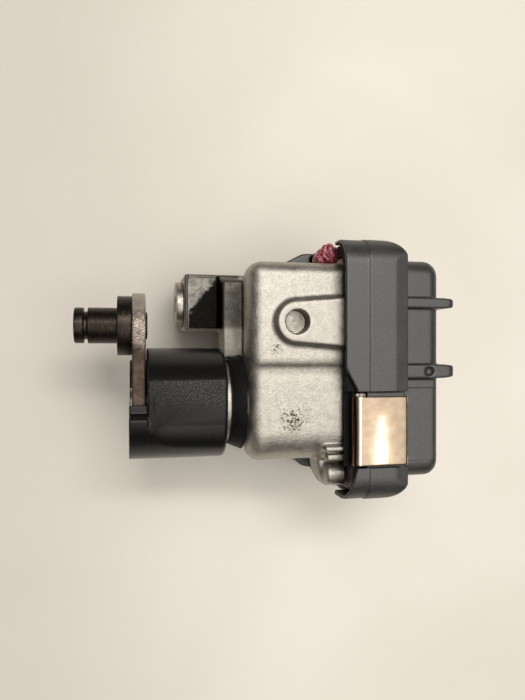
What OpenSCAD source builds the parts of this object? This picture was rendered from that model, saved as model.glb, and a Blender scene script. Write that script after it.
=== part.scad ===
/* [Output shaft and lever] */
// Diameter of the steel output shaft
shaft_d = 10; // [9:0.5:10]
// Distance from the shaft axis to the link pin axis
lever_reach = 26.2; // [25:0.1:30]
// Thickness of the lever plate
lever_t = 4.4; // [4:0.1:4.4]
// Radius of the lever's eye round the link pin
eye_r = 11; // [10:0.1:12]
// Half the width of the lever's arm
arm_half = 9.5; // [8:0.1:9.5]
// Turning range of the output shaft, degrees
travel = 45; // [30:1:45]
// Diameter of the link pin's bearing length
pin_d = 12; // [10:0.5:12]
// Diameter of the link pin's collar
collar_d = 20; // [16:0.1:20]

/* [Spring shroud] */
// Outer diameter of the cup round the return spring
shroud_d = 37.3; // [36:0.1:38]
// Wall of the cup
shroud_wall = 2.2; // [1.6:0.1:2.4]
// Wire of the return spring
spring_wire = 2.2; // [1.6:0.1:2.4]

/* [Housing] */
// Length of the die-cast body from its front face to the flange
body_len = 34.6; // [34:0.1:36]
// Depth of the shaft chamber below the shaft axis
bulge_r = 19.6; // [19:0.1:20]
// Top of the motor chamber above the shaft axis
chamber_top = 47.5; // [47:0.1:49]
// Height of the motor chamber's near face above the shaft axis
near_face = 17.3; // [17:0.1:18]
// Depth of the motor chamber's far face below the shaft axis
far_face = 19; // [18.8:0.1:20]
// Edge radius of the casting
cast_r = 5; // [3:0.5:5]
// Diameter of the blind fixing hole in the pad
pad_hole_d = 8; // [6:0.5:8]
// Diameter of the machined pilot boss
pilot_d = 28; // [27:0.5:28]

/* [Cover] */
// Lowest point of the cover across the shaft
cover_bottom = -32.6; // [-33:0.1:-32]
// Highest point of the cover across the shaft
cover_top = 55.6; // [55:0.1:57]
// Near face of the cover
cover_near = 24; // [23.5:0.1:25]
// Far face of the cover, on which the part lies
cover_far = -42.5; // [-43:0.1:-42]
// Where the cover's skirt starts along the shaft
skirt_start = 31; // [30.8:0.1:31]
// Where the cover's shoulder is along the shaft
shoulder_x = 53.2; // [53:0.1:54]
// End of the cover's dome along the shaft
dome_end = 67.4; // [66:0.1:68]
// Wall of the dome
dome_wall = 2.4; // [2:0.1:2.6]

/* [Gears] */
// Module of the motor pinion and the large intermediate wheel
fast_module = 0.8; // [0.8:0.05:0.8]
// Module of the small intermediate pinion and the sector
slow_module = 1.0; // [1:0.05:1]
// Teeth of the motor pinion
motor_teeth = 10; // [10:1:10]
// Teeth of the large intermediate wheel
wheel_teeth = 40; // [40:1:40]
// Teeth of the small intermediate pinion
pinion_teeth = 11; // [11:1:11]
// Teeth that a full circle of the sector would have
sector_teeth = 45; // [45:1:45]
// Thinning of each tooth at the pitch circle
backlash = 0.09; // [0.06:0.01:0.14]

/* [Motor] */
// Diameter of the motor's can
motor_d = 28; // [27:0.5:28]
// Motor axis across the shaft, upwards
motor_y = 29.5; // [29.3:0.1:29.7]
// Motor axis across the shaft, towards the near face
motor_z = -2; // [-2.2:0.1:-1.8]

/* [Hidden] */

$fn = 64;
soft_fn = 32;
e = 0.01;
cut = 1;
slab = 0.5;

shaft_r = shaft_d / 2;
running = 0.04;

// Stations along the shaft
flange_t = 4;
flange_x = body_len;
joint_x = flange_x + flange_t;
seal_t = 1;
cavity_x = joint_x + seal_t;
roof_x = 50.3;
board_x = 53.2;
board_t = 1.6;
shaft_start = -37.4;
shaft_end = 49.5;

// Lever and link pin
lever_x = -32.5 - lever_t;
lever_hub_r = 12.5;
pin_r = pin_d / 2;
pin_start = -55.5;
pin_head_t = 3;
pin_groove_t = 1.3;
pin_groove_r = 4.65;
pin_collar_x = -41.7;
pin_spigot_r = 4;
pin_rivet_r = 4.6;
pin_rivet_t = 0.65;

// Spring shroud
shroud_r = shroud_d / 2;
shroud_in = shroud_r - shroud_wall;
shroud_start = -37.8;
shroud_step = -32;
shroud_end = -6.4;
shroud_web_t = 1.6;
notch_from = -39;
notch_to = 104;
ledge_from = 88.5;
ledge_in = 14.4;
shroud_facet_z = 17.9;
shroud_facet_half = 7;

// Return spring
spring_r = 12.2;
spring_from = -27.6;
spring_to = -11.5;
spring_turns = 6;
spring_steps = 18;
spring_sides = 8;

// Housing
pilot_r = pilot_d / 2;
boss_seal_x = -5;
boss_seal_r = [14.4, 16.4];
pilot_start = -9.4;
chamber_bottom = 10.5;
bulge_top = 19;
bulge_near = 16.6;
bulge_corner = 11;
draft_z = 8.5;
draft = 0.18;
chamber_r = motor_d / 2 + 0.3;
chamber_x = 6.2;
bearing_r = 9;
bearing_bore_from = 9.5;
bearing_bore_to = 25.5;
grease_r = 7;
pocket_in = 11;
pocket_out = 14;
pocket_x = 7.5;
pad_x = 16;
pad_y = 27.3;
pad_top = 19.5;
pad_end = 32;
pad_r = 6.75;
pad_foot_r = 8.35;
pad_flare = 2.5;
pad_depth = 5.5;
leg_start = -18;
leg_y = [25.2, 46.3];
leg_z = [-36, -15];
leg_r = 3;
leg_hole_y = 35.3;
leg_hole_z = (leg_z[0] + leg_z[1]) / 2;
bush_flange_r = 8.7;
bush_flange_t = 2.7;
bush_r = 4.8;
bush_bore_r = 3.25;
plateau_x = -5.5;
plateau_y = [14, 44];
plateau_z = [-18.5, -6.5];
ear_x = [24, 36.2];
ear_y = -21.8;
ear_z = 5.4;
ear_r = 7.6;
ear_ridge_x = [26, 27.2, 28.2];
ear_ridge_y = [[-16.4, -14], [-19.8, -17], [-27.6, -21]];
ear_ridge_top = [17, 15, 13];

// Cover outlines, as insets from its outer outline
corner_r = 9;
shoulder_r = 6;
skirt_in = 1.8;
flange_in = 4.2;
seal_in = 2.2;
lip_in = 6.15;
lip_x = 32.05;
cavity_in = 4.4;
dome_y = [-25.8, 49.1];
dome_z = [-36, 18.5];
dome_r = 5;
post_r = 3;
post_inset = 5.5;
rib_end = 72;
rib_z = [6, 20.5];
upper_rib_y = [32.2, 35.8];
lower_rib_y = [8.4, 13.1];
rib_dimple_x = 61.6;
cheek_z = -16;
cheek_x = 19.8;
connector_x = 4;
connector_y = [-8, 20];
connector_z = [cover_far, -27.5];
connector_wall = 1.8;
connector_floor = 25;
connector_r = 3;
pin_count = 5;
pin_pitch = 4.4;
blade_x = 13;
blade = [0.8, 2.4];

// Cover clips
clip_t = 0.7;
clip_w = 22.6;
clip_y = -8.6;
clip_x = [33.5, 52.6];
clip_leg = 5.4;
clip_top = cover_near + 0.4;
notch_w = clip_w + 1.4;
upper_clip_z = 0;
lower_clip_z = -12.2;
side_clip_drop = 0.6;
side_clip_reach = side_clip_drop + clip_leg + 0.2;

// Gears
pressure_angle = 25;
addendum = 0.9;
dedendum = 1.15;
centre_play = 0.02;
motor_at = [motor_y, motor_z];
motor_reach = norm(motor_at);
slow_reach = (sector_teeth + pinion_teeth) * slow_module / 2 + centre_play;
fast_reach = (wheel_teeth + motor_teeth) * fast_module / 2 + centre_play;
axle_swing = acos((pow(slow_reach, 2) + pow(motor_reach, 2) - pow(fast_reach, 2))
    / (2 * slow_reach * motor_reach));
slow_mesh = atan2(motor_z, motor_y) - axle_swing;
axle_at = slow_reach * [cos(slow_mesh), sin(slow_mesh)];
fast_mesh = atan2(motor_at[1] - axle_at[1], motor_at[0] - axle_at[0]);
axle_r = 2;
axle_x = [30.6, 51.6];
sector_x = [40.2, 45.6];
wheel_x = [46.6, 50.2];
motor_pinion_x = [46.2, 50.6];
sector_hub_r = 8;
axle_boss_r = 5;

// Motor
motor_r = motor_d / 2;
can_x = [7.6, 35.6];
can_wall = 1.2;
motor_shaft_r = 1.6;
armature_r = 9.8;
armature_x = [13.8, 27];
commutator_x = [30.4, 34];
commutator_r = 4.4;
bush_out = 3.6;
clamp_in = 12.9;
clamp_out = 15.6;
clamp_screw_r = 18.2;
clamp_angles = [100, 280];
screw_r = 1.5;
screw_head_r = 2.8;

// ---- helpers: outlines are drawn as (across, towards the near face) and run along the shaft ----

module along(x0, x1) {
    translate([x0, 0, 0]) rotate([90, 0, 90]) linear_extrude(x1 - x0) children();
}

module rod(x0, x1, r, at = [0, 0]) {
    translate([x0, at[0], at[1]]) rotate([0, 90, 0]) cylinder(r = r, h = x1 - x0);
}

module tube(x0, x1, r_out, r_in, at = [0, 0]) {
    difference() {
        rod(x0, x1, r_out, at);
        rod(x0 - cut, x1 + cut, r_in, at);
    }
}

module round_rect(y, z, r) {
    translate([y[0] + r, z[0]]) square([y[1] - y[0] - 2 * r, z[1] - z[0]]);
    translate([y[0], z[0] + r]) square([y[1] - y[0], z[1] - z[0] - 2 * r]);
    for (a = [y[0] + r, y[1] - r], b = [z[0] + r, z[1] - r]) translate([a, b]) circle(r);
}

// The cover's outer outline drawn in by an inset
module cover_outline(inset = 0) {
    round_rect([cover_bottom + inset, cover_top - inset], [cover_far + inset, cover_near - inset],
        max(corner_r - inset, 1));
}

function span(middle, width) = [middle - width / 2, middle + width / 2];

module block(x, y, z) {
    translate([x[0], y[0], z[0]]) cube([x[1] - x[0], y[1] - y[0], z[1] - z[0]]);
}

// A block with ball corners on its front end and round edges along the shaft
module cast_block(x, y, z, r) {
    hull() {
        for (a = [y[0] + r, y[1] - r], b = [z[0] + r, z[1] - r]) {
            translate([x[0] + r, a, b]) sphere(r, $fn = soft_fn);
            translate([x[1] - slab, a, b]) rotate([0, 90, 0]) cylinder(r = r, h = slab, $fn = soft_fn);
        }
    }
}

// A block whose far end along the shaft has a round edge all round
module shoulder_block(x, y, z, r_corner, r_edge) {
    hull() {
        for (a = [y[0] + r_corner, y[1] - r_corner], b = [z[0] + r_corner, z[1] - r_corner]) {
            translate([x[0], a, b]) rotate([0, 90, 0]) cylinder(r = r_corner, h = slab, $fn = soft_fn);
            translate([x[1] - r_edge, a, b]) rotate([0, 90, 0]) rounded_disc(r_corner, r_edge);
        }
    }
}

module rounded_disc(r, edge) {
    rotate_extrude($fn = soft_fn) intersection() {
        union() {
            square([r - edge, edge]);
            translate([r - edge, 0]) circle(edge, $fn = soft_fn);
        }
        square([r, edge]);
    }
}

// ---- helpers: gear teeth ----

function inv_deg(a) = tan(a) * 180 / PI - a;

// Half the angle that a tooth takes at radius r
function tooth_half(n, m, r) =
    let (rp = n * m / 2, rb = rp * cos(pressure_angle), a = r <= rb ? 0 : acos(rb / r))
    90 / n - backlash / 2 / rp * 180 / PI + inv_deg(pressure_angle) - inv_deg(a);

function tooth_radii(n, m) =
    let (rp = n * m / 2, root = rp - dedendum * m, rb = rp * cos(pressure_angle))
    [root, max(rb, root + 0.05), (max(rb, root) + rp + addendum * m) / 2, rp + addendum * m];

// One tooth's outline, centred on angle c, running anticlockwise
function tooth(n, m, c) =
    let (rs = tooth_radii(n, m), k = len(rs) - 1)
    concat([for (i = [0:k]) let (h = c - tooth_half(n, m, rs[i])) rs[i] * [cos(h), sin(h)]],
        [for (i = [k:-1:0]) let (h = c + tooth_half(n, m, rs[i])) rs[i] * [cos(h), sin(h)]]);

module gear_outline(n, m, phase) {
    polygon([for (i = [0:n - 1]) each tooth(n, m, phase + i * 360 / n)]);
}

module gear(x, n, m, phase, at) {
    translate([x[0], at[0], at[1]]) rotate([90, 0, 90]) linear_extrude(x[1] - x[0]) gear_outline(n, m, phase);
}

// ---- the casting ----

module pad_solid() {
    hull() {
        translate([pad_x, pad_y, near_face - cut]) cylinder(r = pad_foot_r, h = cut, $fn = soft_fn);
        translate([pad_x, pad_y, pad_top - slab]) cylinder(r = pad_r, h = slab, $fn = soft_fn);
        block([pad_end - 1, pad_end], span(pad_y, 2 * pad_foot_r + pad_flare), [near_face - cut, near_face]);
        block([pad_end - 1, pad_end], span(pad_y, 2 * pad_r + pad_flare), [pad_top - slab, pad_top]);
    }
}

// Rounded body over the output shaft
module bulge() {
    mirror([1, 0, 0]) translate([-flange_x, 0, 0])
        shoulder_block([0, flange_x], [-bulge_r, bulge_top], [-far_face, bulge_near], bulge_corner, cast_r);
}

// The slope that the front face has below its middle
module front_draft() {
    drop = draft_z + far_face + cut;
    translate([0, chamber_top + cut, draft_z]) rotate([90, 0, 0]) linear_extrude(chamber_top + bulge_r + 2 * cut)
        polygon([[-cut, 0], [0, 0], [drop * draft, -drop], [-cut, -drop]]);
}

module ear() {
    hull() {
        rod(ear_x[0] + 3, ear_x[1], ear_r, [ear_y, ear_z]);
        rod(ear_x[0], ear_x[1], ear_r - 3, [ear_y + 3, ear_z]);
        rod(ear_x[0] + 3, ear_x[1], ear_r - 2, [ear_y + 9, ear_z - 4]);
    }
    for (k = [0:2])
        block([ear_ridge_x[k], ear_x[1]], ear_ridge_y[k], [ear_z, ear_ridge_top[k]]);
}

module housing_solid() {
    difference() {
        union() {
            cast_block([0, flange_x], [chamber_bottom, chamber_top], [-far_face, near_face], cast_r);
            bulge();
        }
        front_draft();
    }
    rod(pilot_start, cast_r, pilot_r);
    rod(axle_x[0] - 3, flange_x + e, axle_boss_r, axle_at);
    along(flange_x, joint_x) cover_outline(flange_in);
    pad_solid();
    difference() {
        cast_block([plateau_x, cast_r], plateau_y, plateau_z, 1.5);
        rod(plateau_x - cut, e, boss_seal_r[1] + 0.2);
    }
    cast_block([leg_start, cast_r], leg_y, leg_z, leg_r);
    ear();
    block([flange_x, joint_x - 0.6], [clip_y - clip_w / 2 + 0.5, clip_y + clip_w / 2 + 0.65],
        [near_face, clip_top - clip_t - 0.6]);
}

module housing_cuts() {
    rod(pilot_start - cut, bearing_bore_from, bearing_r);
    rod(bearing_bore_from - cut, joint_x, grease_r);
    rod(bearing_bore_to, joint_x + cut, bearing_r);
    difference() {
        rod(pocket_x, joint_x + cut, pocket_out);
        rod(pocket_x - cut, joint_x + 2 * cut, pocket_in);
        block([0, joint_x + 3 * cut], [chamber_bottom, 20], [-20, 20]);
    }
    rod(chamber_x, joint_x + cut, chamber_r, motor_at);
    rod(axle_x[0], joint_x + cut, axle_r, axle_at);
    translate([pad_x, pad_y, pad_top - pad_depth]) cylinder(r = pad_hole_d / 2, h = pad_depth + cut);
    rod(leg_start - cut, cast_r + cut, bush_r, [leg_hole_y, leg_hole_z]);
    for (a = clamp_angles)
        rod(joint_x - 3.6, joint_x + cut, screw_r, motor_at + clamp_screw_r * [cos(a), sin(a)]);
}

module housing() {
    color([0.74, 0.73, 0.7]) difference() {
        housing_solid();
        housing_cuts();
    }
}

// ---- the cover ----

// The skirt's opening round the near clip, seen from the near side
module clip_notch() {
    half = notch_w / 2;
    slope = 4;
    rise = 7.5;
    translate([0, 0, cover_near - 16]) linear_extrude(16 + cut) polygon([
        [skirt_start - cut, cover_bottom - cut], [skirt_start + 0.8, cover_bottom - cut],
        [skirt_start + slope, clip_y - half], [skirt_start + slope, clip_y + half],
        [skirt_start, clip_y + half + rise], [skirt_start - cut, clip_y + half + rise]]);
    block([skirt_start, cavity_x - e], [clip_y - half, clip_y + half], [cover_near - 6, cover_near + cut]);
    block([skirt_start, shoulder_x + cut], [clip_y - half, clip_y + half],
        [clip_top - clip_t - 0.05, cover_near + cut]);
    block([clip_x[1] - clip_t - 0.05, shoulder_x + cut], [clip_y - half, clip_y + half],
        [clip_top - clip_leg + 0.7, cover_near + cut]);
}

// The lower side's mouth, set back for the ear
module ear_notch() {
    block([skirt_start - cut, ear_x[1] + 0.2], [cover_bottom - cut, cover_bottom + 3.8],
        [cover_far - cut, cover_near - 16 + e]);
}

// Seats for the clips on the two sides
module side_notch(y, dir, middle) {
    side_cut([skirt_start - cut, shoulder_x + cut], y, dir, side_clip_drop + clip_t + 0.05, middle);
    side_cut([skirt_start - cut, cavity_x - e], y, dir, 3, middle);
    side_cut([clip_x[1] - clip_t - 0.05, shoulder_x + cut], y, dir, side_clip_drop + clip_leg - 0.7, middle);
}

module side_cut(x, y, dir, deep, middle) {
    block(x, dir > 0 ? [y - deep, y + cut] : [y - cut, y + deep], span(middle, notch_w));
}

module rib(y) {
    hull() {
        block([shoulder_x - 2, shoulder_x - 1], y, rib_z);
        for (z = [rib_z[0] + 3, rib_z[1] - 3])
            translate([rib_end - 3, y[1], z]) rotate([90, 0, 0]) cylinder(r = 3, h = y[1] - y[0], $fn = soft_fn);
    }
}

// Cheeks and web that reach forward on the far side and carry the connector
module wing() {
    difference() {
        translate([0, 0, cover_far]) linear_extrude(cheek_z - cover_far) polygon([
            [cheek_x + 2.5, cover_bottom + 10.6], [cheek_x + 7.5, cover_bottom + 5.8], [skirt_start + 2, cover_bottom + 4.4],
            [skirt_start + 2, cover_top], [skirt_start - 3.6, cover_top - 0.4], [cheek_x, cover_top - 4.3]]);
        along(cheek_x - cut, skirt_start + 2 * cut) difference() {
            square(400, center = true);
            cover_outline();
        }
        block([0, flange_x + 4], [-bulge_r - 1, chamber_top + 1], [-29, 0]);
        block([skirt_start - 2, flange_x + 6], [cover_bottom + skirt_in, cover_top - skirt_in],
            [cover_far + skirt_in, 0]);
    }
}

module cover_solid() {
    shoulder_block([skirt_start, shoulder_x], [cover_bottom, cover_top], [cover_far, cover_near],
        corner_r, shoulder_r);
    shoulder_block([shoulder_x - 4, dome_end], dome_y, dome_z, dome_r + 1, dome_r);
    wing();
    along(connector_x, skirt_start) round_rect(connector_y, connector_z, connector_r);
    rib(upper_rib_y);
    rib(lower_rib_y);
}

module board_posts() {
    for (y = [dome_y[0] + post_inset, dome_y[1] - post_inset], z = [dome_z[0] + post_inset, dome_z[1] - post_inset])
        tube(board_x + board_t, dome_end - 1, post_r, 1.1, [y, z]);
}

module cover() {
    color([0.2, 0.2, 0.195]) {
        difference() {
            cover_solid();
            along(skirt_start - cut, cavity_x) cover_outline(skirt_in);
            along(cavity_x - e, roof_x) cover_outline(cavity_in);
            along(roof_x - e, dome_end - dome_wall)
                round_rect(dome_y + dome_wall * [1, -1], dome_z + dome_wall * [1, -1], dome_r - dome_wall);
            along(connector_x - cut, connector_floor)
                round_rect(connector_y + connector_wall * [1, -1], connector_z + connector_wall * [1, -1], 1.5);
            clip_notch();
            ear_notch();
            side_notch(cover_top, 1, upper_clip_z);
            side_notch(cover_bottom, -1, lower_clip_z);
            translate([rib_dimple_x, (lower_rib_y[0] + lower_rib_y[1]) / 2, rib_z[1] - 1.5])
                cylinder(r1 = 0.6, r2 = 1.8, h = 1.5 + e);
            for (k = [0:pin_count - 1]) connector_blade(k);
        }
        board_posts();
    }
}

module cover_seal() {
    color([0.06, 0.06, 0.06]) {
        difference() {
            along(lip_x, joint_x) cover_outline(seal_in);
            along(lip_x - cut, flange_x + e) cover_outline(lip_in);
            along(flange_x, joint_x + cut) cover_outline(flange_in);
            block([lip_x - cut, joint_x + cut], span(clip_y, notch_w + 2), [clip_top - clip_leg - 0.2, cover_near]);
            rod(ear_x[0], ear_x[1] + 0.2, ear_r + 0.3, [ear_y, ear_z]);
            block([lip_x - cut, ear_x[1] + 0.2], [ear_y - ear_r - 0.3, clip_y - notch_w / 2], [ear_z, cover_near]);
            block([lip_x - cut, joint_x + cut], [cover_bottom, cover_bottom + side_clip_reach],
                span(lower_clip_z, notch_w));
            block([lip_x - cut, ear_x[1] + 0.2], [cover_bottom, cover_bottom + side_clip_reach],
                [cover_far, cover_near]);
            block([lip_x - cut, joint_x + cut], [cover_top - side_clip_reach, cover_top],
                span(upper_clip_z, notch_w));
            block([lip_x - cut, lip_x + 1.4], [chamber_top, cover_top], span(upper_clip_z, notch_w));
        }
        difference() {
            along(joint_x, cavity_x) cover_outline(skirt_in + 0.6);
            along(joint_x - cut, cavity_x + cut) cover_outline(cavity_in);
        }
    }
}

// One clip, drawn with its back towards +Z at height z
module clip_at(z) {
    block(clip_x, [-clip_w / 2, clip_w / 2], [z - clip_t, z]);
    block([clip_x[0], clip_x[0] + clip_t], [-clip_w / 2, clip_w / 2], [z - clip_leg, z - clip_t + e]);
    block([clip_x[1] - clip_t, clip_x[1]], [-clip_w / 2, clip_w / 2], [z - clip_leg + 0.8, z - clip_t + e]);
}

module cover_clips() {
    color([0.72, 0.55, 0.44]) {
        translate([0, clip_y, 0]) clip_at(clip_top);
        translate([0, 0, upper_clip_z]) rotate([-90, 0, 0]) clip_at(cover_top - side_clip_drop);
        translate([0, 0, lower_clip_z]) rotate([90, 0, 0]) clip_at(-cover_bottom - side_clip_drop);
    }
}

module tamper_seal() {
    color([0.55, 0.1, 0.14]) hull() {
        for (p = [[28, 49.7, 8.4, 2.1], [31, 50.2, 8.4, 2.4], [31, 52.4, 8, 2.4], [29.4, 53.4, 8.4, 1.6],
                [28, 49.8, 3, 2]])
            translate([p[0], p[1], p[2]]) sphere(p[3], $fn = 24);
    }
}

// ---- round the output shaft ----

module notch_wedge(from, to, x0, x1) {
    far = 2 * shroud_r;
    n = 8;
    along(x0, x1) polygon(concat([[0, 0]],
        [for (i = [0:n]) let (a = from + (to - from) * i / n) far * [cos(a), sin(a)]]));
}

module spring_shroud() {
    color([0.1, 0.1, 0.1]) difference() {
        union() {
            difference() {
                rod(shroud_start, shroud_end, shroud_r);
                rod(shroud_start - cut, shroud_end - 3, shroud_in);
                rod(shroud_end - 3 - cut, shroud_end + cut, pilot_r + 0.02);
            }
            tube(shroud_step + 0.3, shroud_step + 0.3 + shroud_web_t, shroud_in + e, shaft_r + 1);
            intersection() {
                tube(shroud_start, shroud_step, shroud_in + e, ledge_in);
                notch_wedge(ledge_from, notch_to + 10, shroud_start, shroud_step);
            }
        }
        difference() {
            notch_wedge(notch_from, notch_to, shroud_start - cut, shroud_step);
            rod(shroud_start - 2 * cut, shroud_step + cut, shroud_in - e);
        }
        block([shroud_step + e, shroud_end - 0.8], [-shroud_facet_half, shroud_facet_half],
            [shroud_facet_z, shroud_r + cut]);
        notch_wedge(-20, 75, shroud_step, shroud_step + 0.3 + shroud_web_t + 0.2);
    }
    color([0.1, 0.1, 0.1]) tube(shroud_step + 0.3, shroud_step + 0.3 + shroud_web_t, 9, shaft_r + 1);
}

module boss_seal() {
    color([0.06, 0.06, 0.06]) rotate([0, -90, 0]) rotate_extrude() polygon([
        [pilot_r, 0], [boss_seal_r[1], 0], [boss_seal_r[0], -boss_seal_x], [pilot_r, -boss_seal_x]]);
}

module shaft_seal() {
    color([0.12, 0.12, 0.12]) tube(-9, -4.5, bearing_r, shaft_r + running);
}

module front_bearing() {
    color([0.8, 0.8, 0.82]) tube(-4.2, 8.8, bearing_r, shaft_r + running);
}

module rear_bearing() {
    color([0.8, 0.8, 0.82]) tube(26, joint_x - 0.6, bearing_r, shaft_r + running);
}

function ring_point(t, k) =
    let (turn = 360 * spring_turns * t, a = 360 * k / spring_sides,
        r = spring_r + spring_wire / 2 * cos(a))
    [spring_from + (spring_to - spring_from) * t + spring_wire / 2 * sin(a), r * cos(turn), r * sin(turn)];

module return_spring() {
    rings = spring_turns * spring_steps;
    points = [for (i = [0:rings], k = [0:spring_sides - 1]) ring_point(i / rings, k)];
    walls = [for (i = [0:rings - 1], k = [0:spring_sides - 1])
        let (j = (k + 1) % spring_sides, p = i * spring_sides, q = p + spring_sides)
        [p + k, q + k, q + j, p + j]];
    ends = [[for (k = [0:spring_sides - 1]) k], [for (k = [spring_sides - 1:-1:0]) rings * spring_sides + k]];
    color([0.45, 0.46, 0.48]) polyhedron(points, concat(walls, ends), convexity = 6);
}

module output_shaft() {
    color([0.6, 0.6, 0.62]) rod(shaft_start, shaft_end, shaft_r);
}

module lever() {
    color([0.6, 0.56, 0.5]) difference() {
        along(lever_x, lever_x + lever_t) {
            circle(lever_hub_r);
            translate([lever_reach, 0]) circle(eye_r);
            translate([0, -arm_half]) square([lever_reach, 2 * arm_half]);
        }
        rod(lever_x - cut, lever_x + lever_t + cut, shaft_r);
        rod(lever_x - cut, lever_x + lever_t + cut, pin_spigot_r, [lever_reach, 0]);
    }
}

module link_pin() {
    at = [lever_reach, 0];
    head_end = pin_start + pin_head_t;
    body_start = head_end + pin_groove_t;
    color([0.2, 0.17, 0.15]) {
        rod(pin_start, head_end, pin_r, at);
        rod(head_end - e, body_start + e, pin_groove_r, at);
        rod(body_start, pin_collar_x + e, pin_r, at);
        rod(pin_collar_x, lever_x, collar_d / 2, at);
        rod(lever_x - e, lever_x + lever_t + e, pin_spigot_r, at);
        rod(lever_x + lever_t, lever_x + lever_t + pin_rivet_t, pin_rivet_r, at);
    }
}

module sector_gear() {
    pitch = 360 / sector_teeth;
    first = ceil((travel + 12) / pitch);
    last = 1;
    color([0.86, 0.84, 0.78]) difference() {
        union() {
            along(sector_x[0], sector_x[1])
                polygon(concat([[0, 0]], [for (i = [-first:last]) each tooth(sector_teeth, slow_module,
                    slow_mesh + i * pitch)]));
            rod(sector_x[0], sector_x[1], sector_hub_r);
        }
        rod(sector_x[0] - cut, sector_x[1] + cut, shaft_r);
    }
}

module sensor_magnet() {
    color([0.3, 0.3, 0.32]) tube(46.2, shaft_end, 7, shaft_r);
}

module thrust_washer() {
    color([0.75, 0.7, 0.5]) tube(joint_x + 0.3, sector_x[0], 8.5, shaft_r);
}

// ---- gear train ----

module gear_axle() {
    color([0.75, 0.75, 0.77]) rod(axle_x[0], axle_x[1], axle_r, axle_at);
}

module axle_washer() {
    color([0.7, 0.7, 0.72]) tube(joint_x, joint_x + 0.8, 4.2, axle_r, axle_at);
}

module axle_clip() {
    color([0.35, 0.35, 0.36]) tube(wheel_x[1] + 0.3, wheel_x[1] + 0.9, 3.6, axle_r, axle_at);
}

module intermediate_gear() {
    color([0.92, 0.9, 0.84]) difference() {
        union() {
            gear(wheel_x, wheel_teeth, fast_module, fast_mesh, axle_at);
            gear([joint_x + 1.2, wheel_x[0] + e], pinion_teeth, slow_module,
                slow_mesh + 180 + 180 / pinion_teeth, axle_at);
        }
        rod(joint_x, wheel_x[1] + cut, axle_r + running, axle_at);
    }
}

module motor_pinion() {
    color([0.78, 0.66, 0.35]) difference() {
        gear(motor_pinion_x, motor_teeth, fast_module, fast_mesh + 180 + 180 / motor_teeth, motor_at);
        rod(motor_pinion_x[0] - cut, motor_pinion_x[1] + cut, motor_shaft_r, motor_at);
    }
}

// ---- motor ----

module motor_can() {
    color([0.66, 0.67, 0.68]) difference() {
        rod(can_x[0], can_x[1], motor_r, motor_at);
        rod(can_x[0] + can_wall, can_x[1] + cut, motor_r - can_wall, motor_at);
        rod(can_x[0] - cut, can_x[0] + 2 * can_wall, bush_out, motor_at);
    }
}

module motor_magnets() {
    color([0.25, 0.25, 0.27]) for (side = [0, 180]) difference() {
        tube(9, 29, motor_r - can_wall, armature_r + 0.7, motor_at);
        translate([0, motor_at[0], motor_at[1]]) rotate([side, 0, 0]) block([8, 30], [-20, 20], [-20, 3.6]);
    }
}

module motor_end_cap() {
    color([0.15, 0.15, 0.16]) difference() {
        rod(can_x[1], joint_x, motor_r, motor_at);
        rod(can_x[1] - cut, joint_x + cut, bush_out, motor_at);
        for (k = [-1, 1]) terminal(k);
    }
}

module terminal(k) {
    block([can_x[1] + 0.4, board_x], span(motor_at[0] + 11, 0.8), span(motor_at[1] + 4 * k, 2.4));
}

module motor_terminals() {
    color([0.8, 0.68, 0.4]) for (k = [-1, 1]) terminal(k);
}

module motor_brushes() {
    color([0.18, 0.17, 0.17]) for (k = [-1, 1])
        block([commutator_x[0] + 0.5, commutator_x[1] - 0.5], span(motor_at[0], 3),
            span(motor_at[1] + k * (commutator_r + 3.4), 6.6));
}

module motor_front_bush() {
    color([0.72, 0.6, 0.36]) tube(can_x[1] + 0.2, joint_x + 0.4, bush_out, motor_shaft_r + running, motor_at);
}

module motor_rear_bush() {
    color([0.72, 0.6, 0.36]) tube(can_x[0] - 1, can_x[0] + 3, bush_out, motor_shaft_r + running, motor_at);
}

module motor_wave_spring() {
    color([0.6, 0.6, 0.62]) tube(chamber_x + 0.1, can_x[0] - 0.1, 12.5, 9.5, motor_at);
}

module motor_clamp() {
    color([0.7, 0.7, 0.68]) difference() {
        union() {
            rod(joint_x, joint_x + 1, clamp_out, motor_at);
            for (a = clamp_angles)
                rod(joint_x, joint_x + 1, 3.6, motor_at + clamp_screw_r * [cos(a), sin(a)]);
        }
        rod(joint_x - cut, joint_x + 2, clamp_in, motor_at);
        for (a = clamp_angles)
            rod(joint_x - cut, joint_x + 2, screw_r, motor_at + clamp_screw_r * [cos(a), sin(a)]);
    }
}

module motor_screws() {
    color([0.62, 0.63, 0.64]) for (a = clamp_angles) {
        at = motor_at + clamp_screw_r * [cos(a), sin(a)];
        rod(joint_x - 3.4, joint_x + 1 + e, screw_r, at);
        rod(joint_x + 1, joint_x + 3, screw_head_r, at);
    }
}

module motor_shaft() {
    color([0.7, 0.7, 0.72]) rod(can_x[0] - 0.8, motor_pinion_x[1] + 0.4, motor_shaft_r, motor_at);
}

module motor_armature() {
    slots = 5;
    color([0.4, 0.4, 0.42]) difference() {
        rod(armature_x[0], armature_x[1], armature_r, motor_at);
        rod(armature_x[0] - cut, armature_x[1] + cut, motor_shaft_r, motor_at);
        for (k = [0:slots - 1])
            translate([0, motor_at[0], motor_at[1]]) rotate([360 * k / slots, 0, 0])
                block([armature_x[0] - cut, armature_x[1] + cut], [7.2, armature_r + cut], [-0.8, 0.8]);
    }
}

module motor_windings() {
    color([0.7, 0.36, 0.16]) {
        tube(armature_x[0] - 3, armature_x[0], 8.6, 3.4, motor_at);
        tube(armature_x[1], armature_x[1] + 3, 8.6, 3.4, motor_at);
    }
}

module motor_commutator() {
    color([0.76, 0.44, 0.22]) tube(commutator_x[0], commutator_x[1], commutator_r, motor_shaft_r, motor_at);
}

// ---- electronics ----

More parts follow.
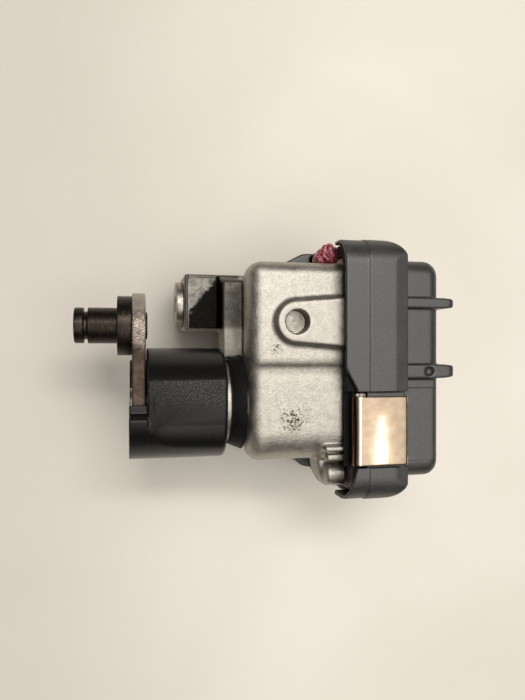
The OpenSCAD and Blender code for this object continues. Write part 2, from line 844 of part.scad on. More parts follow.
module board_hole(y, z) {
    rod(board_x - cut, board_x + board_t + cut, 1.2, [y, z]);
}

module circuit_board() {
    gap = dome_wall + 0.5;
    color([0.1, 0.36, 0.2]) difference() {
        along(board_x, board_x + board_t) round_rect(dome_y + gap * [1, -1], dome_z + gap * [1, -1], 2);
        for (y = [dome_y[0] + post_inset, dome_y[1] - post_inset],
            z = [dome_z[0] + post_inset, dome_z[1] - post_inset]) board_hole(y, z);
    }
}

module board_screws() {
    color([0.65, 0.66, 0.67])
        for (y = [dome_y[0] + post_inset, dome_y[1] - post_inset],
            z = [dome_z[0] + post_inset, dome_z[1] - post_inset]) {
            rod(board_x - e, board_x + board_t + 5, 1.05, [y, z]);
            rod(board_x - 1.4, board_x, 2.2, [y, z]);
        }
}

module microcontroller() {
    color([0.12, 0.12, 0.13]) block([board_x + board_t, board_x + board_t + 1.6], [2, 16], [-12, 2]);
}

module motor_driver() {
    color([0.13, 0.13, 0.13]) block([board_x + board_t, board_x + board_t + 2], [24, 36], [-14, -4]);
}

module position_sensor() {
    color([0.1, 0.1, 0.1]) block([board_x - 1.5, board_x], [-3, 3], [-2.5, 2.5]);
}

module board_capacitors() {
    color([0.7, 0.7, 0.73]) for (z = [-26, -15, -4])
        rod(board_x + board_t, board_x + board_t + 7, 4, [-13, z]);
}

module connector_blade(k) {
    mid = [(connector_y[0] + connector_y[1]) / 2, (connector_z[0] + connector_z[1]) / 2];
    y = mid[0] + (k - (pin_count - 1) / 2) * pin_pitch;
    block([blade_x, connector_floor + 2], span(y, blade[0]), span(mid[1], blade[1]));
}

module connector_pins() {
    color([0.82, 0.7, 0.42]) for (k = [0:pin_count - 1]) connector_blade(k);
}

module leg_bush() {
    at = [leg_hole_y, leg_hole_z];
    color([0.7, 0.7, 0.7]) difference() {
        union() {
            rod(leg_start - bush_flange_t, leg_start, bush_flange_r, at);
            rod(leg_start - e, cast_r, bush_r, at);
        }
        rod(leg_start - bush_flange_t - cut, cast_r + cut, bush_bore_r, at);
    }
}

housing();
cover();
cover_seal();
cover_clips();
tamper_seal();
spring_shroud();
boss_seal();
shaft_seal();
front_bearing();
rear_bearing();
return_spring();
leg_bush();
gear_axle();
axle_washer();
axle_clip();
motor_can();
motor_magnets();
motor_end_cap();
motor_brushes();
motor_terminals();
motor_front_bush();
motor_rear_bush();
motor_wave_spring();
motor_clamp();
motor_screws();
circuit_board();
board_screws();
microcontroller();
motor_driver();
position_sensor();
board_capacitors();
connector_pins();
output_shaft();
lever();
link_pin();
sector_gear();
sensor_magnet();
thrust_washer();
intermediate_gear();
motor_shaft();
motor_armature();
motor_windings();
motor_commutator();
motor_pinion();
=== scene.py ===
"""The looks of a rotary electric valve actuator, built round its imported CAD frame."""

import math

import bmesh
import bpy
import numpy as np
import openvdb
from mathutils import Matrix, Vector


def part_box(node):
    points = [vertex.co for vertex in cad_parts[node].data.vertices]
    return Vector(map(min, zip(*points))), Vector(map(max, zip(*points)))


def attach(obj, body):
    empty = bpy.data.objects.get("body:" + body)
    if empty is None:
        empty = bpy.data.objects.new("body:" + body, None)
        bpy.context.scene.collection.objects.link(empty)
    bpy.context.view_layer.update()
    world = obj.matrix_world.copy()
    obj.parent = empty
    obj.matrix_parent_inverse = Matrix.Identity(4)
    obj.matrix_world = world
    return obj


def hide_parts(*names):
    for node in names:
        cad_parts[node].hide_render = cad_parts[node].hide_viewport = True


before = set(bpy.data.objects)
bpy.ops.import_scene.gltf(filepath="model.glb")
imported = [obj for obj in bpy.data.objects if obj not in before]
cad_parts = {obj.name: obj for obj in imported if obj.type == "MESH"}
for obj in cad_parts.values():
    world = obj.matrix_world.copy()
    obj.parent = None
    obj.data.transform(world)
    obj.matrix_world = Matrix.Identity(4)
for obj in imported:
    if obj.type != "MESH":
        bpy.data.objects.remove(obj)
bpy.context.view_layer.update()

MM = 0.001  # the row frame is in metres, and the sizes below are in millimetres


# ---------------------------------------------------------------- places, from the frame

def limits(node):
    """Lowest and highest corner of a CAD node, in millimetres."""
    low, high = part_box(node)
    return np.array(low) / MM, np.array(high) / MM


COVER_LOW, COVER_HIGH = limits("cover")
PIN_LOW, PIN_HIGH = limits("link_pin")
LEVER_LOW, LEVER_HIGH = limits("lever")
SHROUD_LOW, SHROUD_HIGH = limits("spring_shroud")
CLIP_LOW, CLIP_HIGH = limits("cover_clips")
BUSH_LOW, BUSH_HIGH = limits("leg_bush")
BOSS_LOW, BOSS_HIGH = limits("boss_seal")
TAMPER_LOW, TAMPER_HIGH = limits("tamper_seal")
HOUSING_LOW, HOUSING_HIGH = limits("housing")
MOTOR_LOW, MOTOR_HIGH = limits("motor_can")
AXLE_LOW, AXLE_HIGH = limits("gear_axle")


def middle(low, high, axis):
    return float(low[axis] + high[axis]) / 2


MOTOR_AT = (middle(MOTOR_LOW, MOTOR_HIGH, 1), middle(MOTOR_LOW, MOTOR_HIGH, 2))
AXLE_AT = (middle(AXLE_LOW, AXLE_HIGH, 1), middle(AXLE_LOW, AXLE_HIGH, 2))
PIN_AT = (middle(PIN_LOW, PIN_HIGH, 1), middle(PIN_LOW, PIN_HIGH, 2))
LEG_AT = (middle(BUSH_LOW, BUSH_HIGH, 1), middle(BUSH_LOW, BUSH_HIGH, 2))


# ---------------------------------------------------------------- shapes as distance fields

class Grid:
    """Sample points over a box, in millimetres, as three arrays that broadcast together."""

    def __init__(self, low, high, step, margin=1.2):
        self.low = np.array(low) - margin
        self.step = step
        counts = np.ceil((np.array(high) + margin - self.low) / step).astype(int) + 1
        axes = [np.float32(start) + np.arange(n, dtype=np.float32) * np.float32(step)
                for start, n in zip(self.low, counts)]
        self.x, self.y, self.z = np.ix_(*axes)


def slab(a, span):
    """Distance to the space between two parallel planes."""
    return np.maximum(span[0] - a, a - span[1])


def outline(a, b, a_span, b_span, r):
    """Distance to a rectangle with rounded corners."""
    qa = slab(a, a_span) + r
    qb = slab(b, b_span) + r
    return np.hypot(np.maximum(qa, 0), np.maximum(qb, 0)) + np.minimum(np.maximum(qa, qb), 0) - r


def disc(a, b, centre, r):
    return np.hypot(a - centre[0], b - centre[1]) - r


def join(a, b, r=0.0):
    """Both shapes, with a fillet of radius r where they meet."""
    if np.ndim(r) == 0 and r == 0:
        return np.minimum(a, b)
    return np.maximum(np.minimum(a, b), r) - np.hypot(np.maximum(r - a, 0), np.maximum(r - b, 0))


def meet(a, b, r=0.0):
    """What two shapes share, with the edge between them rounded to radius r."""
    if np.ndim(r) == 0 and r == 0:
        return np.maximum(a, b)
    return np.minimum(np.maximum(a, b), -r) + np.hypot(np.maximum(r + a, 0), np.maximum(r + b, 0))


def cut(a, b, r=0.0):
    """The first shape without the second."""
    return meet(a, -b, r)


def prism(g, x, y, z, corner, edge):
    """A block along X: corner rounds its long edges, edge rounds its two ends."""
    return meet(outline(g.y, g.z, y, z, corner), slab(g.x, x), edge)


def rod(g, x, at, r, edge=0.0):
    """A cylinder along X."""
    return meet(disc(g.y, g.z, at, r), slab(g.x, x), edge)


def half_plane(a, b, start, end):
    """Distance to the left side of the line from start to end."""
    da, db = end[0] - start[0], end[1] - start[1]
    return ((a - start[0]) * db - (b - start[1]) * da) / math.hypot(da, db)


def convex(a, b, corners):
    """Distance to a convex outline whose corners run anticlockwise."""
    field = half_plane(a, b, corners[-1], corners[0])
    for start, end in zip(corners, corners[1:]):
        field = np.maximum(field, half_plane(a, b, start, end))
    return field


def skin(grid, field, name):
    """A smooth mesh over the zero level of a distance field."""
    volume = openvdb.FloatGrid(background=3.0)
    volume.copyFromArray(np.ascontiguousarray(np.clip(field, -3, 3), dtype=np.float32))
    points, triangles, quads = volume.convertToPolygons(isovalue=0.0, adaptivity=0.0)
    places = (np.asarray(points, float) * grid.step + grid.low) * MM
    faces = [tuple(reversed(f)) for f in np.asarray(quads).tolist() + np.asarray(triangles).tolist()]
    mesh = bpy.data.meshes.new(name)
    mesh.from_pydata(places.tolist(), [], faces)
    mesh.shade_smooth()
    return link(name, mesh)


def link(name, mesh):
    piece = bpy.data.objects.new(name, mesh)
    bpy.context.scene.collection.objects.link(piece)
    return piece


# ---------------------------------------------------------------- shapes as meshes

def from_bmesh(name, bm, smooth_angle=35):
    bmesh.ops.remove_doubles(bm, verts=bm.verts, dist=1e-7)
    bmesh.ops.recalc_face_normals(bm, faces=bm.faces)
    mesh = bpy.data.meshes.new(name)
    bm.to_mesh(mesh)
    bm.free()
    mesh.shade_smooth()
    mesh.set_sharp_from_angle(angle=math.radians(smooth_angle))
    return link(name, mesh)


def rounded(corners, radii, steps):
    """An open line with each inner corner replaced by an arc of its radius."""
    line = [Vector(corners[0])]
    for i in range(1, len(corners) - 1):
        here = Vector(corners[i])
        to_last = (Vector(corners[i - 1]) - here).normalized()
        to_next = (Vector(corners[i + 1]) - here).normalized()
        half = to_last.angle(to_next) / 2
        back = radii[i - 1] / math.tan(half)
        centre = here + (to_last + to_next).normalized() * (radii[i - 1] / math.sin(half))
        first, last = here + to_last * back - centre, here + to_next * back - centre
        turn = math.pi - 2 * half
        for k in range(steps + 1):
            t = k / steps
            mix = first * math.sin((1 - t) * turn) + last * math.sin(t * turn)
            line.append(centre + mix / math.sin(turn))
    line.append(Vector(corners[-1]))
    return line


def lathe(name, profile, at):
    """A turned piece: profile holds (X, radius) pairs in millimetres, from one end to the other."""
    bm = bmesh.new()
    rings = []
    sides = 96
    for x, r in profile:
        ring = []
        for k in range(sides):
            a = 2 * math.pi * k / sides
            spot = Vector((x, at[0] + r * math.cos(a), at[1] + r * math.sin(a))) * MM
            ring.append(bm.verts.new(spot))
        rings.append(ring)
    for one, two in zip(rings, rings[1:]):
        for k in range(sides):
            bm.faces.new((one[k], one[(k + 1) % sides], two[(k + 1) % sides], two[k]))
    if profile[0] != profile[-1]:
        bm.faces.new(rings[0])
        bm.faces.new(list(reversed(rings[-1])))
    return from_bmesh(name, bm)


def turned(corners, edge):
    """A lathe profile whose corners are all broken by a small round edge."""
    return [tuple(p) for p in rounded(corners, [edge] * (len(corners) - 2), 3)]


def dress(node, finish, edge):
    """Shows a CAD node itself, with its edges broken and a finish of its own."""
    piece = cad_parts[node]
    weld = piece.modifiers.new("weld", "WELD")
    weld.merge_threshold = 1e-6
    bevel = piece.modifiers.new("edge", "BEVEL")
    bevel.width = edge * MM
    bevel.segments = 2
    bevel.limit_method = "ANGLE"
    bevel.angle_limit = math.radians(32)
    bevel.harden_normals = True
    piece.data.materials.clear()
    piece.data.materials.append(finish)
    return piece


def show(piece, body, finish, slot, *nodes):
    """Hands a finished piece to the frame: its material, its body and the CAD nodes that it stands for."""
    if not piece.data.materials:
        piece.data.materials.append(finish)
    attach(piece, body)
    if nodes:
        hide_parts(*nodes)
    return piece


# ---------------------------------------------------------------- materials

def rgb(red, green, blue):
    """A display colour from 0 to 255 as the linear colour that a shader takes."""
    def linear(v):
        v /= 255
        return v / 12.92 if v <= 0.04045 else ((v + 0.055) / 1.055) ** 2.4
    return (linear(red), linear(green), linear(blue), 1.0)


class Finish:
    """A procedural material, with its coordinates in millimetres of the row frame."""

    def __init__(self, name, metallic=0.0, roughness=0.5, **shader):
        self.material = bpy.data.materials.new(name)
        self.material.use_nodes = True
        self.tree = self.material.node_tree
        self.shader = self.tree.nodes["Principled BSDF"]
        self.set("Metallic", metallic)
        self.set("Roughness", roughness)
        for socket, value in shader.items():
            self.set(socket.replace("_", " "), value)
        place = self.tree.nodes.new("ShaderNodeTexCoord").outputs["Object"]
        self.place = self.vector("MULTIPLY", place, (1 / MM, 1 / MM, 1 / MM))
        split = self.tree.nodes.new("ShaderNodeSeparateXYZ")
        self.tree.links.new(self.place, split.inputs[0])
        self.x, self.y, self.z = split.outputs

    def set(self, socket, value, node=None):
        target = (node or self.shader).inputs[socket]
        if isinstance(value, bpy.types.NodeSocket):
            self.tree.links.new(value, target)
        else:
            target.default_value = value

    def vector(self, operation, a, b):
        node = self.tree.nodes.new("ShaderNodeVectorMath")
        node.operation = operation
        self.set(0, a, node)
        self.set(1, b, node)
        return node.outputs[0]

    def math(self, operation, a, b=0.0):
        node = self.tree.nodes.new("ShaderNodeMath")
        node.operation = operation
        self.set(0, a, node)
        self.set(1, b, node)
        return node.outputs[0]

    def noise(self, scale, detail=4.0, rough=0.55, stretch=(1, 1, 1), warp=0.0):
        """Noise with about one swell every 1/scale millimetres."""
        node = self.tree.nodes.new("ShaderNodeTexNoise")
        self.set("Vector", self.vector("MULTIPLY", self.place, stretch), node)
        values = {"Scale": scale, "Detail": detail, "Roughness": rough, "Distortion": warp}
        for socket, value in values.items():
            self.set(socket, value, node)
        return node.outputs["Fac"]

    def cells(self, scale):
        """Distance to the nearest border in a pattern of cells."""
        node = self.tree.nodes.new("ShaderNodeTexVoronoi")
        node.feature = "DISTANCE_TO_EDGE"
        self.set("Vector", self.place, node)
        self.set("Scale", scale, node)
        return node.outputs["Distance"]

    def ramp(self, value, low, high, out_low=0.0, out_high=1.0):
        """Runs from out_low to out_high while value runs from low to high."""
        node = self.tree.nodes.new("ShaderNodeMapRange")
        node.interpolation_type = "SMOOTHSTEP"
        for socket, number in (("Value", value), ("From Min", low), ("From Max", high),
                               ("To Min", out_low), ("To Max", out_high)):
            self.set(socket, number, node)
        return node.outputs["Result"]

    def near(self, centre, radius, soft, stretch=(1, 1, 1)):
        """1 around a place, fading to 0 between radius - soft and radius + soft."""
        away = self.vector("MULTIPLY", self.vector("SUBTRACT", self.place, centre), stretch)
        node = self.tree.nodes.new("ShaderNodeVectorMath")
        node.operation = "LENGTH"
        self.set(0, away, node)
        return self.ramp(node.outputs["Value"], radius - soft, radius + soft, 1.0, 0.0)

    def band(self, value, low, high, soft):
        """1 where value lies between low and high."""
        return self.times(self.ramp(value, low - soft, low + soft),
                          self.ramp(value, high - soft, high + soft, 1.0, 0.0))

    def times(self, *values):
        total = values[0]
        for value in values[1:]:
            total = self.math("MULTIPLY", total, value)
        return total

    def plus(self, *values):
        total = values[0]
        for value in values[1:]:
            total = self.math("ADD", total, value)
        return total

    def blend(self, amount, first, second):
        """A colour between two others."""
        node = self.tree.nodes.new("ShaderNodeMix")
        node.data_type = "RGBA"
        node.clamp_factor = True
        self.set(0, amount, node)
        self.set(6, first, node)
        self.set(7, second, node)
        return node.outputs[2]

    def bump(self, height, depth, under=None):
        """A normal from a height that swings over depth millimetres."""
        node = self.tree.nodes.new("ShaderNodeBump")
        self.set("Height", height, node)
        self.set("Distance", depth * MM, node)
        self.set("Strength", 1.0, node)
        if under is not None:
            self.set("Normal", under, node)
        return node.outputs["Normal"]


def cast_aluminium():
    """Die-cast alloy: fine grain, pores and dirt specks, with painted shade in the valley, down the low
    sides, on the plateau and in the recess by the cover, and a painted shadow with an oil gloss on the leg.
    """
    f = Finish("cast_aluminium", metallic=0.95)
    grain = f.noise(1.7, 3, 0.7)
    mottle = f.noise(0.35, 4, 0.6)
    speck = f.noise(1.1, 6, 0.72, warp=0.8)
    colour = f.blend(f.ramp(mottle, 0.3, 0.72), rgb(166, 162, 154), rgb(192, 187, 178))
    colour = f.blend(f.ramp(grain, 0.42, 0.7, 0, 0.4), colour, rgb(112, 107, 99))
    scuffs = f.near(SCUFFS_AT, 3.6, 3.8, (0.8, 1, 0.6))
    pits = f.near(PITS_AT, 1.8, 2.4)
    dirt = f.times(f.ramp(f.plus(speck, f.times(f.plus(scuffs, pits), 0.10)), 0.60, 0.67),
                   f.plus(scuffs, f.times(pits, 0.7), 0.08))
    # painted shade along the valley between the motor chamber and the lower body
    valley_shade = f.times(f.band(f.y, 9.9, 13.4, 1.4), f.ramp(f.z, 12, 15), f.ramp(speck, 0.3, 0.62, 0.45, 1.0))
    # painted shade: darker towards the low sides of the body, away from its near faces
    low = f.ramp(f.plus(f.z, f.times(mottle, 6)), 9, 17, 0.34, 0.0)
    sides = f.times(low, f.ramp(mottle, 0.35, 0.65))
    fine = f.noise(5.5, 3, 0.7)
    # painted shade on the plateau in front of the housing
    plateau = f.times(f.ramp(f.x, 2.7, 2.1), f.ramp(f.y, 24.5, 27.0), f.band(f.z, -16, 4, 1.5),
                      f.ramp(fine, 0.32, 0.62, 1.0, 0.55))
    boss = f.near((0, *EAR_BOSS), EAR_BOSS_R, 0.3, (0, 1, 1))
    # painted shade in the recess beside the ear, next to the cover's edge
    recess_shade = f.times(f.ramp(f.x, 32.6, 34.0), f.ramp(f.y, -14, -17), f.ramp(boss, 0, 1, 0.95, 0))
    # dirt specks together with the painted shade of the valley and the sides
    dirt_and_shade = f.plus(dirt, f.times(valley_shade, 0.35), sides)
    colour = f.blend(f.math("MINIMUM", dirt_and_shade, 1.0), colour, rgb(60, 54, 46))
    colour = f.blend(f.math("MAXIMUM", plateau, recess_shade), colour, rgb(40, 36, 32))
    # painted shadow in the leg's tray: a dark corner with a wobbling edge and a dark strip at its end by the
    # front wall, with smudges beside it; it also gets the lower roughness of an oil film
    smear = f.noise(0.2, 3, 0.55, warp=0.9)
    slope = f.plus(f.times(f.x, 1.22), f.times(f.y, -1.0), f.times(smear, 9.0), 47.6)
    smudge = f.times(f.ramp(f.noise(0.36, 3, 0.6, warp=0.8), 0.5, 0.66), f.ramp(slope, -11.0, -2.0), 0.6)
    shadow_and_smudge = f.math("MAXIMUM", f.math("MAXIMUM", f.ramp(slope, -1.3, 1.3), smudge), f.ramp(f.x, -6.6, -6.0))
    on_leg = f.times(f.ramp(f.x, -4.5, -5.0), f.ramp(f.x, -16.9, -16.0), f.band(f.y, 25.9, 45.6, 0.3),
                     f.ramp(f.z, -17.5, -15.9))
    oil_and_shadow = f.times(shadow_and_smudge, on_leg)
    colour = f.blend(oil_and_shadow, colour, rgb(12, 10, 8))
    f.set("Base Color", colour)
    rough = f.plus(f.ramp(mottle, 0.3, 0.7, 0.28, 0.4), f.times(dirt_and_shade, 0.2), f.times(grain, 0.08))
    f.set("Roughness", f.math("SUBTRACT", rough, f.times(oil_and_shadow, 0.1)))
    skin_deep = f.bump(f.noise(1.6, 5, 0.72), 0.16)
    f.set("Normal", f.bump(f.times(dirt, -1.0), 0.06, under=skin_deep))
    return f.material


def turned_aluminium(name, axis_at):
    """Machined alloy with fine turning rings round an axis along Z."""
    f = Finish(name, metallic=1.0, Anisotropic=0.6)
    dx, dy = f.math("SUBTRACT", f.x, axis_at[0]), f.math("SUBTRACT", f.y, axis_at[1])
    radius = f.math("SQRT", f.plus(f.times(dx, dx), f.times(dy, dy)))
    rings = f.math("SINE", f.times(radius, 26.0))
    wear = f.noise(0.8, 4, 0.6)
    colour = f.blend(f.ramp(wear, 0.35, 0.7), rgb(150, 145, 137), rgb(128, 124, 116))
    f.set("Base Color", f.blend(f.ramp(rings, -1, 1, 0, 0.22), colour, rgb(102, 98, 91)))
    f.set("Roughness", f.ramp(wear, 0.3, 0.7, 0.26, 0.38))
    f.set("Normal", f.bump(f.plus(rings, f.times(wear, 0.15)), 0.006))
    return f.material


def cover_plastic():
    """Glass-filled plastic: an etched grain with a dusty bloom."""
    f = Finish("cover_plastic", Specular_IOR_Level=0.85)
    grain = f.noise(1.9, 3, 0.6)
    bloom = f.noise(0.12, 4, 0.6)
    dust = f.plus(f.ramp(bloom, 0.35, 0.75, 0, 0.3), f.ramp(grain, 0.45, 0.7, 0, 0.7))
    f.set("Base Color", f.blend(dust, rgb(36, 36, 35), rgb(66, 65, 62)))
    f.set("Roughness", f.plus(0.36, f.times(bloom, 0.12)))
    f.set("Normal", f.bump(grain, 0.045))
    return f.material


def shroud_plastic():
    """Black plastic, satin round the sides, with a coarse grain on the flat whose pale flecks are painted
    sparkle and glare, strongest towards +X and +Y.
    """
    f = Finish("shroud_plastic", Specular_IOR_Level=0.3)
    flat = f.times(f.ramp(f.z, 16.3, 17.0), f.ramp(f.x, SHROUD_LOW[0] + 6.2, SHROUD_LOW[0] + 7.0))
    grain = f.noise(2.3, 4, 0.65)
    fine = f.noise(4.5, 3, 0.6)
    # painted glare on the grained flat, strongest towards +X and +Y
    painted_glare = f.ramp(f.plus(f.times(f.x, 0.5), f.y), -15, -2, 0.15, 1.0)
    pale = f.times(flat, f.ramp(grain, 0.45, 0.68), painted_glare)
    base = f.blend(f.ramp(fine, 0.4, 0.7, 0, 0.5), rgb(14, 14, 13), rgb(21, 21, 20))
    f.set("Base Color", f.blend(pale, base, rgb(92, 90, 84)))
    f.set("Roughness", f.plus(0.24, f.times(flat, 0.2), f.times(fine, 0.08)))
    coarse = f.bump(f.times(grain, flat), 0.22)
    f.set("Normal", f.bump(fine, 0.02, under=coarse))
    return f.material


def clip_steel():
    """Cold-rolled spring strip in a warm tone, with rolling lines across it, painted shade on its bend and a
    painted highlight beside it.
    """
    f = Finish("spring_clip", metallic=1.0)
    cloud = f.noise(0.32, 4, 0.6)
    lines = f.noise(1.0, 3, 0.6, stretch=(2.5, 0.12, 2.5))
    spots = f.noise(2.4, 3, 0.6)
    colour = f.blend(f.ramp(cloud, 0.35, 0.7), rgb(152, 134, 115), rgb(163, 146, 128))
    colour = f.blend(f.ramp(spots, 0.55, 0.72, 0, 0.2), colour, rgb(138, 114, 92))
    # painted shade on the return bend
    bend_shade = f.ramp(f.x, CLIP_LOW[0] + 1.8, CLIP_LOW[0] + 0.9)
    # painted highlight: a thin pale line just past the bend
    colour = f.blend(f.band(f.x, CLIP_LOW[0] + 2.0, CLIP_LOW[0] + 2.5, 0.25), colour, rgb(250, 236, 216))
    f.set("Base Color", f.blend(f.times(bend_shade, 0.85), colour, rgb(84, 48, 34)))
    f.set("Roughness", f.plus(f.ramp(lines, 0.3, 0.7, 0.08, 0.11), f.times(spots, 0.03)))
    f.set("Normal", f.bump(lines, 0.002))
    return f.material


def lever_steel():
    """Sawn and plated plate: pale zinc at its eye, brown tarnish further down, tool marks across its edge."""
    f = Finish("zinc_steel", metallic=0.85)
    marks = f.noise(1.1, 4, 0.7, stretch=(0.35, 3.4, 0.6))
    patch = f.noise(0.42, 5, 0.65, warp=0.5)
    grit = f.noise(2.6, 4, 0.7)
    eye = f.ramp(f.plus(f.y, f.times(patch, 6)), 32.6, 35.8)
    colour = f.blend(f.ramp(patch, 0.35, 0.62), rgb(105, 93, 83), rgb(148, 136, 124))
    colour = f.blend(f.ramp(marks, 0.5, 0.66, 0, 0.75), colour, rgb(84, 66, 57))
    bright = f.times(f.ramp(grit, 0.5, 0.62), f.band(f.y, 19, 33, 1.5))
    tarnish = f.ramp(f.plus(f.y, f.times(patch, 5)), 24.5, 19.5, 0, 0.8)
    colour = f.blend(f.ramp(bright, 0, 1, 0, 0.85), colour, rgb(232, 222, 210))
    colour = f.blend(tarnish, colour, rgb(64, 50, 40))
    f.set("Base Color", f.blend(eye, colour, rgb(176, 171, 160)))
    f.set("Roughness", f.ramp(grit, 0.3, 0.7, 0.34, 0.56))
    coarse = f.bump(marks, 0.1)
    f.set("Normal", f.bump(grit, 0.09, under=coarse))
    return f.material


def blackened_steel():
    """Turned steel with a warm black oxide, worn along its rims."""
    f = Finish("dark_steel", metallic=0.9)
    wear = f.noise(1.6, 5, 0.65, warp=0.4, stretch=(1.6, 0.5, 0.5))
    rings = f.noise(1.0, 2, 0.5, stretch=(14, 0.5, 0.5))
    colour = f.blend(f.ramp(wear, 0.42, 0.7), rgb(38, 33, 29), rgb(60, 53, 47))
    f.set("Base Color", f.blend(f.ramp(rings, 0.5, 0.7, 0, 0.45), colour, rgb(94, 84, 74)))
    f.set("Roughness", f.ramp(wear, 0.3, 0.7, 0.27, 0.4))
    f.set("Normal", f.bump(f.plus(rings, f.times(wear, 0.25)), 0.02))
    return f.material


def lacquer():
    """Brittle red sealing lacquer, with painted highlights along its creases."""
    f = Finish("red_lacquer", roughness=0.3, Coat_Weight=0.5, Coat_Roughness=0.2)
    creases = f.cells(0.55)
    cloud = f.noise(0.5, 4, 0.65)
    colour = f.blend(f.ramp(cloud, 0.35, 0.68), rgb(112, 14, 34), rgb(160, 42, 66))
    # painted highlight: paler along the creases
    f.set("Base Color", f.blend(f.ramp(creases, 0.0, 0.12, 0.6, 0.0), colour, rgb(206, 146, 154)))
    f.set("Roughness", f.ramp(cloud, 0.3, 0.7, 0.24, 0.42))
    f.set("Normal", f.bump(f.plus(creases, cloud), 0.2))
    return f.material


def rubber():
    f = Finish("black_rubber", Specular_IOR_Level=0.12)
    bloom = f.noise(0.4, 4, 0.6)
    fine = f.noise(3.0, 3, 0.6)
    f.set("Base Color", f.blend(f.ramp(bloom, 0.35, 0.75), rgb(10, 10, 10), rgb(20, 20, 19)))
    f.set("Roughness", f.ramp(bloom, 0.3, 0.7, 0.5, 0.66))
    f.set("Normal", f.bump(fine, 0.02))
    return f.material


def metal(name, colour, stain, roughness, scale=0.8, stretch=(1, 1, 1)):
    """A plain metal with clouded tone, uneven polish and fine tool marks."""
    f = Finish(name, metallic=1.0)
    cloud = f.noise(scale, 4, 0.6)
    marks = f.noise(2.4, 3, 0.6, stretch=stretch)
    f.set("Base Color", f.blend(f.ramp(cloud, 0.35, 0.7, 0, 0.8), colour, stain))
    f.set("Roughness", f.plus(roughness - 0.06, f.times(marks, 0.12)))
    f.set("Normal", f.bump(marks, 0.012))
    return f.material


def plain(name, colour, pale, roughness):
    """A moulded or coated surface that is not metal."""
    f = Finish(name)
    cloud = f.noise(1.2, 4, 0.6)
    fine = f.noise(4.0, 3, 0.6)
    f.set("Base Color", f.blend(f.ramp(cloud, 0.35, 0.7), colour, pale))
    f.set("Roughness", f.plus(roughness - 0.05, f.times(fine, 0.1)))
    f.set("Normal", f.bump(fine, 0.015))
    return f.material


def board_finish():
    """Green solder mask over copper tracks, with bare rings round the holes left to their own parts."""
    f = Finish("board", Coat_Weight=0.4, Coat_Roughness=0.15)
    tracks = f.cells(0.42)
    weave = f.noise(3.0, 2, 0.5, stretch=(1, 3, 1))
    line = f.ramp(tracks, 0.03, 0.07, 1.0, 0.0)
    colour = f.blend(f.ramp(weave, 0.4, 0.6), rgb(18, 74, 44), rgb(24, 88, 52))
    f.set("Base Color", f.blend(f.times(line, 0.6), colour, rgb(58, 128, 74)))
    f.set("Roughness", f.ramp(weave, 0.3, 0.7, 0.32, 0.42))
    f.set("Normal", f.bump(line, 0.03))
    return f.material


def windings_finish():
    """Enamelled copper wire laid round and round, with painted shade between the turns."""
    f = Finish("copper", metallic=0.9)
    wire = f.math("SINE", f.times(f.plus(f.y, f.z), 11.0))
    cloud = f.noise(0.7, 3, 0.6)
    # painted shade between the turns of wire and painted highlight on their crowns
    colour = f.blend(f.ramp(wire, -1, 0.6), rgb(110, 44, 18), rgb(204, 106, 56))
    f.set("Base Color", f.blend(f.ramp(cloud, 0.4, 0.7, 0, 0.4), colour, rgb(160, 74, 36)))
    f.set("Roughness", f.ramp(cloud, 0.3, 0.7, 0.26, 0.4))
    f.set("Normal", f.bump(wire, 0.12))
    return f.material


def floor_finish():
    """A plain off-white table surface, a little uneven, with painted shade that greys it towards the left."""
    f = Finish("floor", roughness=0.85, Specular_IOR_Level=0.2)
    cloud = f.noise(0.006, 3, 0.5, warp=0.4)
    fine = f.noise(0.6, 3, 0.6)
    colour = f.blend(f.ramp(cloud, 0.3, 0.75), rgb(230, 224, 213), rgb(243, 238, 229))
    # painted shade, greying the table towards -X
    f.set("Base Color", f.blend(f.ramp(f.x, -110, 60, 0.45, 0), colour, rgb(176, 169, 160)))
    f.set("Normal", f.bump(fine, 0.03))
    return f.material


# ---------------------------------------------------------------- the pieces that show

NEAR_FACE = 17.3          # the motor chamber's face towards the camera
FAR_FACE = -19.0
CHAMBER = (10.5, 47.5)    # across the shaft
CHEST = (-19.6, 19.0)     # the lower body, round the shaft
CHEST_FACE = 16.6
BODY_END = HOUSING_HIGH[0] - 4.0
PILOT_R = 14.0
SLEEVE_R = 4.8            # the bush in the leg and its hole
CLIP_Y = (-19.9, 2.7)     # the near clip, across the shaft
RECESS_Y = (CLIP_Y[0] - 0.7, CLIP_Y[1] + 1.5)
UPPER_CLIP_Z = 0.0
LOWER_CLIP_Z = -12.2
PAD = (16.0, 27.3)
PAD_TOP = 19.5
PAD_R = 6.75
PAD_HOLE_R = 4.0
PAD_HOLE_BOTTOM = PAD_TOP - 5.5
SCUFFS_AT = (15.5, -5.0, 17.0)   # scratches on the lower body
PITS_AT = (9.5, 18.5, 17.0)      # a few pits beside the pad
TAMPER_LUMPS = ((27.6, 49.8, 7.6, 2.1), (31.0, 50.0, 8.0, 2.3), (31.4, 52.4, 7.8, 2.1),
                (29.5, 53.6, 8.4, 1.5), (28.0, 49.8, 3.2, 1.9), (29.6, 51.4, 7.4, 2.4),
                (27.2, 51.2, 6.6, 1.5))
EAR_BOSS = (-24.8, 9.1)
EAR_BOSS_R = 3.8
EAR_END = 36.2
EAR_RIDGES = ((26.0, (-16.3, -14.0), 17.1), (27.2, (-19.8, -17.0), 15.0))


def cast_pad(g):
    """The raised pad: a round nose that runs into a strip, with drafted sides."""
    draft = 0.34 * np.clip(PAD_TOP - g.z, 0, 4)
    reach = g.x - PAD[0]
    nose = disc(g.x, g.y, PAD, PAD_R)
    strip = np.abs(g.y - PAD[1]) - PAD_R - 0.085 * np.maximum(reach, 0)
    field = meet(np.where(reach > 0, strip, nose) - draft, g.z - PAD_TOP, 0.7)
    return meet(field, slab(g.x, (0, BODY_END - 1.6)), 0.8)


